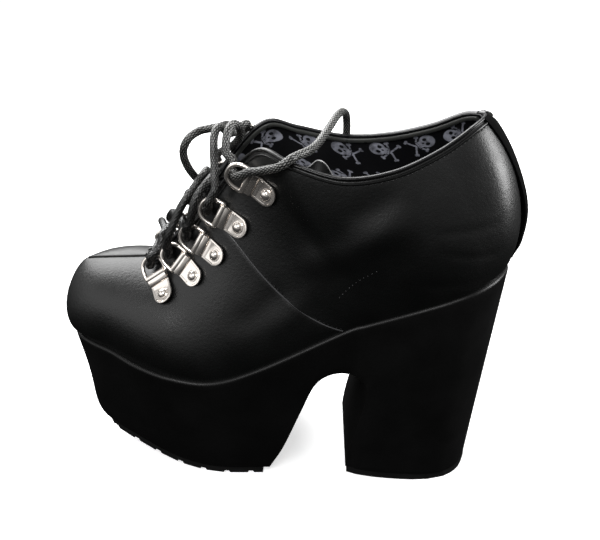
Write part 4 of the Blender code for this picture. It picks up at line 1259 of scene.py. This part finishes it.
def add_lining(material, wall):
    points, normals, deep = wall
    inner = points - (WALL - 0.05) * normals
    run = run_along(inner[:, np.argmin(abs(deep[0] - 20))])
    flat = np.stack([np.broadcast_to(run[:, None], deep.shape), -deep], axis=2)
    lining = grid_piece("upper_lining", inner, wrap=True, uv=flat)
    face_away(weld(lining))
    dress(thicken(lining, LINING_THICK, 1), material, "lining", angle=50)


def topline_path(spacing=1.0):
    """The wall's open top edge, from the outer end of the throat round the heel to the inner end."""
    places = np.linspace(THROAT, LOOP_LENGTH - THROAT, 2401)
    run = run_along(wall_points(places, 1.0))
    return np.interp(np.linspace(0, run[-1], round(run[-1] / spacing) + 1), run, places)


def edge_frames(places, away):
    """Points this far below the top edge, with the wall's normal and the direction up to the edge."""
    found = []
    for at in places:
        up = below_top(at, away)
        lower = wall_points([at], below_top(at, away + 1.0))[0]
        here = wall_points([at], up)[0]
        normal = wall_normals(np.array([at]), np.array([min(up, 0.995)]))[0]
        rise = unit(here - lower)
        found.append((here, unit(normal - normal @ rise * rise), rise))
    return (np.array(rows) for rows in zip(*found))


def add_topline(roll_material, turned_material):
    """The rolled edge round the throat and collar, and the edge turned in below it."""
    places = topline_path()
    line, normals, ups = edge_frames(places, ROLL_DOWN)
    over = QUARTER_STEP / 2 * smooth((station_of(places) - QUARTER + 0.02) / 0.04)
    middle = line + (over - 0.72)[:, None] * normals
    roll = tube_piece("topline_roll", middle, normals, ups, BEAD + 0.15 + over * 0.6, BEAD - 0.2)
    dress(roll, roll_material, "upper_leather")
    line, normals, ups = edge_frames(places, BINDING_DOWN)
    middle = line - (WALL + BINDING) * normals
    # its grey material is painted light on the band turned in behind the topline
    turned_in = tube_piece("collar_binding", middle, normals, ups, *BINDING_HALF)
    dress(turned_in, turned_material, "upper_leather")


def front_edge(side, depths):
    """The quarter's front edge at these distances below the topline, and the wall's normals there."""
    at = place_of(QUARTER, side)
    ups, run = wall_path(at, 241)
    depths = depths[depths < run[-1] - 0.2]
    spots, height = at + seam_bend(at, depths), np.interp(depths, run, ups)
    return wall_points(spots, height), wall_normals(spots, height)


def add_quarter_edge(material):
    """The folded front edge of each quarter, a fine line whose pale grey paint stands in for its highlight.
    """
    for side, word in SIDES:
        line, normals = front_edge(side, np.linspace(BAND - 0.3, 140, 150))
        line = line + (QUARTER_STEP - FRONT_EDGE_SUNK) * normals
        across = unit_rows(np.cross(np.gradient(line, axis=0), normals))
        edge = tube_piece(f"quarter_edge_{word}", line, across, normals, *FRONT_EDGE_HALF, 10)
        dress(edge, material, "upper_leather")


# --- stitches ---------------------------------------------------------------------------------------------
def stitch_shape():
    """One stitch along x: a short capsule that sinks in at both ends."""
    points, faces = [], []
    for along, wide, rise in STITCH_ENDS:
        for side in range(STITCH_SIDES):
            turn = 2 * math.pi * side / STITCH_SIDES
            reach = max(wide, 0.05) * STITCH_THICK / 2 * 1.2
            high = reach * math.sin(turn) + rise * STITCH_THICK
            points.append((along * STITCH_LONG / 2, reach * math.cos(turn), high))
    for ring in range(len(STITCH_ENDS) - 1):
        for side in range(STITCH_SIDES):
            here, after = ring * STITCH_SIDES + side, ring * STITCH_SIDES + (side + 1) % STITCH_SIDES
            faces.append((here, after, after + STITCH_SIDES, here + STITCH_SIDES))
    last = range(len(points) - STITCH_SIDES, len(points))
    return np.array(points), [*faces, tuple(range(STITCH_SIDES))[::-1], tuple(last)]


def add_stitches(name, rows, material, size=1.0):
    """Rows of stitches as one piece. Each row is its points and normals, already spaced along the seam."""
    shape, faces = stitch_shape()
    shape = shape * (size, 1.0, 1.0)
    points, built = [], []
    for line, normals in rows:
        run = run_along(line)
        at = np.arange(STITCH_PITCH / 2, run[-1], STITCH_PITCH)
        places = read_along(at, run, line)
        ahead = read_along(at + 0.5, run, line) - places
        for place, forward, normal in zip(places, ahead, read_along(at, run, normals)):
            if np.linalg.norm(forward) < 1e-6:
                continue
            forward = unit(forward)
            side = unit(np.cross(unit(normal), forward))
            normal = np.cross(forward, side)
            start = len(points) * len(shape)
            points.append(place + shape[:, :1] * forward + shape[:, 1:2] * side + shape[:, 2:] * normal)
            built += [tuple(index + start for index in face) for face in faces]
    piece = mesh_piece(name, np.concatenate(points), built)
    dress(face_out(piece), material, "upper_leather", angle=80)


def seam_rows():
    """The seams along the topline and beside each quarter's front edge."""
    places = topline_path(1.5)
    places = places[(places > THROAT + 0.05) & (places < LOOP_LENGTH - THROAT - 0.05)]
    line, normals, _ = edge_frames(places, BAND + 0.75)
    rows = [(line + quarter_step(station_of(places))[:, None] * normals, normals)]
    for at in (QUARTER + SEAM_FROM_EDGE, LOOP_LENGTH - QUARTER - SEAM_FROM_EDGE):
        ups = np.linspace(0.02, below_top(at, BAND + 1.0), 60)
        down = run_along(wall_points(np.full(len(ups), at), ups)[::-1])[::-1]
        spots = at + seam_bend(at, down + BAND)
        normals = wall_normals(spots, ups)
        rows.append((wall_points(spots, ups) + (QUARTER_STEP - FRONT_SEAM_SUNK) * normals, normals))
    return rows


def dotted_row():
    """A short row of needle marks low on the outer quarter."""
    places, ups = np.linspace(*DOTS_FROM_TO, 60), np.linspace(*DOTS_UP, 60)
    normals = wall_normals(places, ups)
    return [(wall_points(places, ups) + (QUARTER_STEP - MARKS_SUNK) * normals, normals)]


# --- backstay, platform, tongue and insole ----------------------------------------------------------------
def add_backstay(material):
    """The strip over the back seam, with rounded edges, laid on the wall and fading out at both ends."""
    places = np.linspace(LAST_STATION - 1.3, LAST_STATION + 1.3, 401)
    offsets = np.linspace(-0.5, 0.5, 15) * BACKSTAY_WIDE
    points, ups = [], np.linspace(*BACKSTAY_SPAN, 70)
    for up in ups:
        spots = np.interp(FOOT[-1][1] + offsets, wall_points(places, up)[:, 1], places)
        points.append(wall_points(spots, up))
    points = np.array(points)
    share = np.linspace(0, 1, len(ups))[:, None]
    settled = smooth((1 - share) / 0.07) * smooth(share / 0.12)
    crown = QUARTER_STEP + 0.1 + 1.1 * (1 - (abs(offsets) / offsets.max()) ** 6)
    height = 0.3 + (crown - 0.3) * settled + 1.4 * hill(share, 0.36, 0.2)
    strip = grid_piece("backstay_strip", points + height[:, :, None] * grid_normals(points, facing=0))
    dress(thicken(strip, 1.0), material, "upper_leather", "backstay", angle=50)


def platform_profile(at):
    """The platform's side from the ledge down to the tread, as a list of outlines."""
    foot = through(FOOT_LOOP, at, True)
    out = outward(FOOT_LOOP, at)
    tread = through(TREAD_LOOP, at, True) + (0.0, 0.0, TREAD)
    belly = through(BELLY_LOOP, at, True) * outward(TREAD_LOOP, at)
    rings = [foot + inset * out for inset in (-3.0, 0.0, LEDGE - LEDGE_BEVEL - 0.5)]
    for angle in range(0, 91, 15):
        turn = math.radians(angle)
        side = LEDGE - LEDGE_BEVEL * (1 - math.sin(turn))
        rings.append(foot + side * out - (0.0, 0.0, LEDGE_BEVEL * (1 - math.cos(turn))))
    edge = foot + LEDGE * out - (0.0, 0.0, LEDGE_BEVEL)
    for share in WALL_SHARES:
        part = share / 0.17
        rings.append(tread + share * (edge - tread) + part * math.exp(1 - part) * belly)
    return np.array(rings).transpose(1, 0, 2)


def arch_cutter():
    """The opening between platform and heel as a solid, leaning with the heel's front face."""
    outline = through(ARCH, np.linspace(0, len(ARCH) - 1, 14 * len(ARCH)))
    outline = outline[np.concatenate([[True], np.linalg.norm(np.diff(outline, axis=0), axis=1) > 0.05])]
    near = [(x, -ARCH_REACH, z) for x, z in outline]
    cutter = mesh_piece("arch_cutter", near, [tuple(range(len(outline)))])
    edit(cutter)
    pick_all()
    bpy.ops.mesh.extrude_region_move(TRANSFORM_OT_translate={"value": (0, 2 * ARCH_REACH * MM, 0)})
    for vert in bmesh.from_edit_mesh(cutter.data).verts:
        behind = (vert.co.x / MM - SHIFT[0] - ARCH_CROWN) / 10
        vert.co.x -= FACE_LEAN * (vert.co.y - FACE_NEAR * MM) * min(max(behind, 0.0), 1.0)
    end_edit()
    return face_out(cutter)


def add_platform(material):
    """The wrapped platform and heel, cut through by the arch."""
    places = both_sides(even_outline(lambda at: through(FOOT_LOOP, at, True), count=190))
    body = face_out(weld(grid_piece("platform_body", platform_profile(places), wrap=True), 0.003), close=True)
    cutter = arch_cutter()
    apply_modifier(body, "BOOLEAN", object=cutter, operation="DIFFERENCE", solver="EXACT")
    bpy.data.objects.remove(cutter)
    dress(round_edges(body, 0.45, sharper_than=50), material, "sole_leather", "platform_unit", angle=30)


def centre_y(x):
    """The shoe's middle line, from toe seam to heel."""
    return np.interp(x, [-112, -78, -40, 20, 100], [4.0, 3.0, 1.5, -5.0, -6.0])


def add_tongue(material, edge_highlight_material):
    """The tongue's sheet, and its turned edge from the instep round the curled end."""
    part = np.linspace(-1, 1, 37)
    x, z, half, drop = through(TONGUE, np.linspace(0, len(TONGUE) - 1, 110)).T[:, :, None]
    points = np.stack([
        np.broadcast_to(x, (len(x), len(part))),
        centre_y(x) + half * part,
        z - drop * abs(part) ** TONGUE_ROUND,
    ], axis=2)
    sheet = grid_piece("tongue_sheet", points)
    face_up(sheet)
    dress(round_edges(thicken(sheet, TONGUE_THICK), 0.5), material, "lining", "tongue", angle=50)
    normals = grid_normals(points, facing=2)
    end, side = len(x) - 1, len(part) - 1
    border = [(k, 0) for k in range(EDGED_FROM, end + 1)] + [(end, k) for k in range(1, side)]
    border += [(k, side) for k in range(end, EDGED_FROM - 1, -1)]
    line, up = (np.array([grid[spot] for spot in border]) for grid in (points, normals))
    for _ in range(3):
        line[1:-1] = (line[:-2] + 2 * line[1:-1] + line[2:]) / 4
    across = unit_rows(np.cross(np.gradient(line, axis=0), up))
    middle, tall = line - TONGUE_THICK / 2 * up, TONGUE_THICK / 2 + TONGUE_EDGE_OVER
    # painted highlight: the tongue's edge is painted pale grey to read as the bright line along it
    edge = tube_piece("tongue_edge", middle, across, up, TONGUE_EDGE_HALF, tall)
    dress(edge, edge_highlight_material, "upper_leather")


def add_insole(material):
    """The sock, a little dished across."""
    places = np.linspace(0, LAST_STATION, 160)
    level = through(FOOT_LOOP, places, True)[:, 2]
    edges = []
    for at in (places, (LOOP_LENGTH - places) % LOOP_LENGTH):
        edge = through(FOOT_LOOP, at, True) - INSOLE_INSET * outward(FOOT_LOOP, at)
        edge[:, 2] = level
        edges.append(edge[:, None])
    part = np.linspace(0, 1, 17)[None, :, None]
    sheet = edges[0] * (1 - part) + edges[1] * part + (0.0, 0.0, GAP + INSOLE_THICK)
    sheet[..., 2] -= INSOLE_DISH * (1 - (2 * part[..., 0] - 1) ** 2)
    piece = weld(grid_piece("insole_cover", sheet))
    face_up(piece)
    dress(round_edges(thicken(piece, INSOLE_COVER), 0.4, 2), material, "lining", "insole", angle=50)


# --- ring plates, rivets and D-rings ----------------------------------------------------------------------
def pull_edge(to, wide=None):
    """Extrudes the selected edge to a place away from the bar and up, and gives it this half width."""
    bpy.ops.mesh.extrude_region_move(TRANSFORM_OT_translate={"value": (0, 0, 0)})
    mesh = bmesh.from_edit_mesh(bpy.context.object.data)
    ends = [vert for vert in mesh.verts if vert.select]
    here = sum((vert.co for vert in ends), Vector()) / len(ends)
    move = Vector((-to[0] * MM, 0, to[1] * MM)) - here
    bpy.ops.transform.translate(value=move)
    if wide is not None:
        now = max(abs(vert.co.y) for vert in ends)
        bpy.ops.transform.resize(value=(1, wide * MM / now, 1), center_override=here + move)


def model_plate():
    """A strap of sheet metal rolled round the ring's bar. x is the way the ring pulls."""
    half = PLATE_WIDE / 2
    wide = half + 0.2
    deselect()
    bpy.ops.mesh.primitive_plane_add(size=1, location=(0, 0, 0))
    plate = bpy.context.object
    plate.scale = (2.0 * MM, 2 * wide * MM, 1)
    plate.location = (-2.2 * MM, 0, PLATE_THICK / 2 * MM)
    bpy.ops.object.transform_apply()
    edit()
    pick_none()
    mesh = bmesh.from_edit_mesh(plate.data)
    front = max(mesh.edges, key=lambda edge: edge.verts[0].co.x + edge.verts[1].co.x)
    front.select_set(True)
    bmesh.update_edit_mesh(plate.data)
    pull_edge((0.0, PLATE_THICK / 2))
    bpy.ops.mesh.spin(steps=20, angle=math.radians(216), center=(0, 0, BAR_UP * MM), axis=(0, -1, 0))
    for spot in STRAP:
        pull_edge(spot, wide)
    pull_edge((FOLD + 0.5, PLATE_THICK / 2), wide)
    for angle in ROUND_END:
        turn = math.radians(angle)
        pull_edge((PLATE_LONG - half + half * math.sin(turn), PLATE_THICK / 2), half * math.cos(turn))
    end_edit()
    thicken(face_out(plate), PLATE_THICK, 0)
    edit()
    pick_none("FACE")
    mesh = bmesh.from_edit_mesh(plate.data)
    for face in mesh.faces:
        middle = face.calc_center_median()
        face.select_set(face.normal.z > 0.9 and middle.x < -(FOLD + 0.3) * MM and middle.z > 0.5 * MM)
    bmesh.update_edit_mesh(plate.data)
    bpy.ops.mesh.inset(thickness=RIM * MM, depth=0, use_even_offset=True)
    bpy.ops.mesh.inset(thickness=0.3 * MM, depth=-PRESSED * MM, use_even_offset=True)
    end_edit()
    return round_edges(plate, 0.34, 4, 55)


def model_rivet():
    """A domed head with a narrow flange, seated on the plate."""
    deselect()
    bpy.ops.mesh.primitive_circle_add(vertices=40, radius=HEAD_ACROSS / 2 * MM, fill_type="NGON")
    head = bpy.context.object
    edit()
    pick_all()
    foot_wide, foot_high = FLANGE[-1]
    steps = list(FLANGE)
    for turn in np.radians(DOME):
        steps.append((foot_wide * math.cos(turn), foot_high + (HEAD_HIGH - foot_high) * math.sin(turn)))
    last, level = 1.0, 0.0
    for wide, high in steps:
        bpy.ops.mesh.extrude_region_move(TRANSFORM_OT_translate={"value": (0, 0, (high - level) * MM)})
        bpy.ops.transform.resize(value=(wide / last, wide / last, 1), center_override=(0, 0, high * MM))
        last, level = wide, high
    end_edit()
    return face_out(head)


def model_ring():
    """The D-ring: drawn wire, bent round with tight corners and joined along its bar."""
    turns = np.radians(np.arange(0, 180.01, 1.5))
    cosine = np.cos(turns)
    across = (RING_BAR / 2 + RING_FLARE * np.sin(turns)) * np.sign(cosine) * abs(cosine) ** RING_SQUARE
    reach = RING_DEPTH * abs(np.sin(turns)) ** RING_SQUARE
    tilt = math.radians(RING_TILT)
    line = np.stack([reach * math.cos(tilt), across, reach * math.sin(tilt) + BAR_UP], axis=1)
    line = np.concatenate([line, line[:1]])
    run = run_along(line)
    line = read_along(np.linspace(0, run[-1], 161)[:-1], run, line)
    for _ in range(5):
        line = (np.roll(line, 1, axis=0) + line + np.roll(line, -1, axis=0)) / 3
    curve = bpy.data.curves.new("ring_wire", "CURVE")
    curve.dimensions = "3D"
    curve.bevel_depth = RING_SWELL * RING_WIRE / 2 * MM
    curve.bevel_resolution = 5
    spline = curve.splines.new("POLY")
    spline.points.add(len(line) - 1)
    for target, point in zip(spline.points, line * MM):
        target.co = (*point, 1.0)
    spline.use_cyclic_u = True
    only(object_of("ring_wire", curve))
    bpy.ops.object.convert(target="MESH")
    return bpy.context.object


def placed_copy(model, name, frame, move):
    """A copy with its own mesh, put where one ring sits."""
    origin, pull, along, normal = frame
    copy = object_of(name, model.data.copy())
    turn = Matrix([pull, along, normal]).transposed().to_4x4()
    copy.matrix_basis = Matrix.Translation(metres(origin)) @ turn @ Matrix.Translation(Vector(move) * MM)
    return settle(copy)


def add_hardware(material):
    rivet_place = (-(PLATE_LONG - PLATE_WIDE / 2), 0, PLATE_THICK - PRESSED)
    models = [(model_plate(), "ring_plate", (0, 0, 0)), (model_rivet(), "rivet", rivet_place),
              (model_ring(), "d_ring", (0, 0, 0))]
    for side, word in SIDES:
        for number in range(1, len(RINGS) + 1):
            frame = ring_frame(number, side)
            for model, kind, move in models:
                solid = f"{kind}_{word}_{number}"
                copy = placed_copy(model, f"{solid}_metal", frame, move)
                dress(copy, material, "nickel", solid, angle=32)
    for model, _, _ in models:
        bpy.data.objects.remove(model)


# --- the whole shoe ---------------------------------------------------------------------------------------
def main():
    add_camera()
    satin_tones = (0.0022, 0.0024, 0.0023, 1), (0.005, 0.0053, 0.0052, 1)
    satin = leather("satin_leather", *satin_tones, (0.3, 0.44), 0.35, 0.35)
    wrap = leather("wrapped_sole_leather", grey(0.002), grey(0.004), (0.36, 0.5), 0.12, 0.0, 0.3)
    # partly painted shade: the strip is darker than the satin leather and nearly without specular, as it
    # faces away from the light
    strip = leather("backstay_leather", grey(0.0015), grey(0.003), (0.7, 0.85), 0.1, 0.3, 0.05)
    cushion = leather("tongue_leather", grey(0.002), grey(0.004), (0.6, 0.75), 0.2, 0.3, 0.03)
    edge_gloss = plain_gloss("edge_gloss", (0.005, 0.005, 0.0055), 0.24)
    # painted highlight: a pale grey that makes the quarter's edge read as a fine light line; the needle marks
    # share it
    cut_edge_and_highlight = plain_gloss("cut_edge_and_highlight", (0.085, 0.085, 0.088), 0.2)
    thread = plain_gloss("black_thread", (0.007, 0.007, 0.008), 0.5)
    # painted highlight: a pale grey for the bright line along the tongue's edge
    painted_edge_highlight = plain_gloss("painted_edge_highlight", (0.5, 0.5, 0.5), 0.2)
    # painted light: the turned-in edge is painted grey, where the band behind the topline catches light
    turned_edge = plain_gloss("turned_edge", (0.06, 0.062, 0.058), 0.26)
    add_lace(waxed_braid(), plain_gloss("aglet_plastic", (0.01, 0.01, 0.011), 0.2))
    wall = add_upper(satin)
    add_lining(printed_cloth(), wall)
    add_topline(edge_gloss, turned_edge)
    add_stitches("seam_stitches", seam_rows(), thread)
    add_stitches("needle_marks", dotted_row(), cut_edge_and_highlight, 0.55)
    add_backstay(strip)
    add_platform(wrap)
    add_tongue(cushion, painted_edge_highlight)
    add_quarter_edge(cut_edge_and_highlight)
    add_insole(satin)
    add_hardware(nickel())
    tread = rubber()
    for name in ("forepart_outsole", "heel_top_lift"):
        solid = bpy.data.objects[name]
        solid.data.materials.clear()
        solid.data.materials.append(tread)
    add_floor()
    for light in LIGHTS:
        add_light(*light)
    add_room()


main()
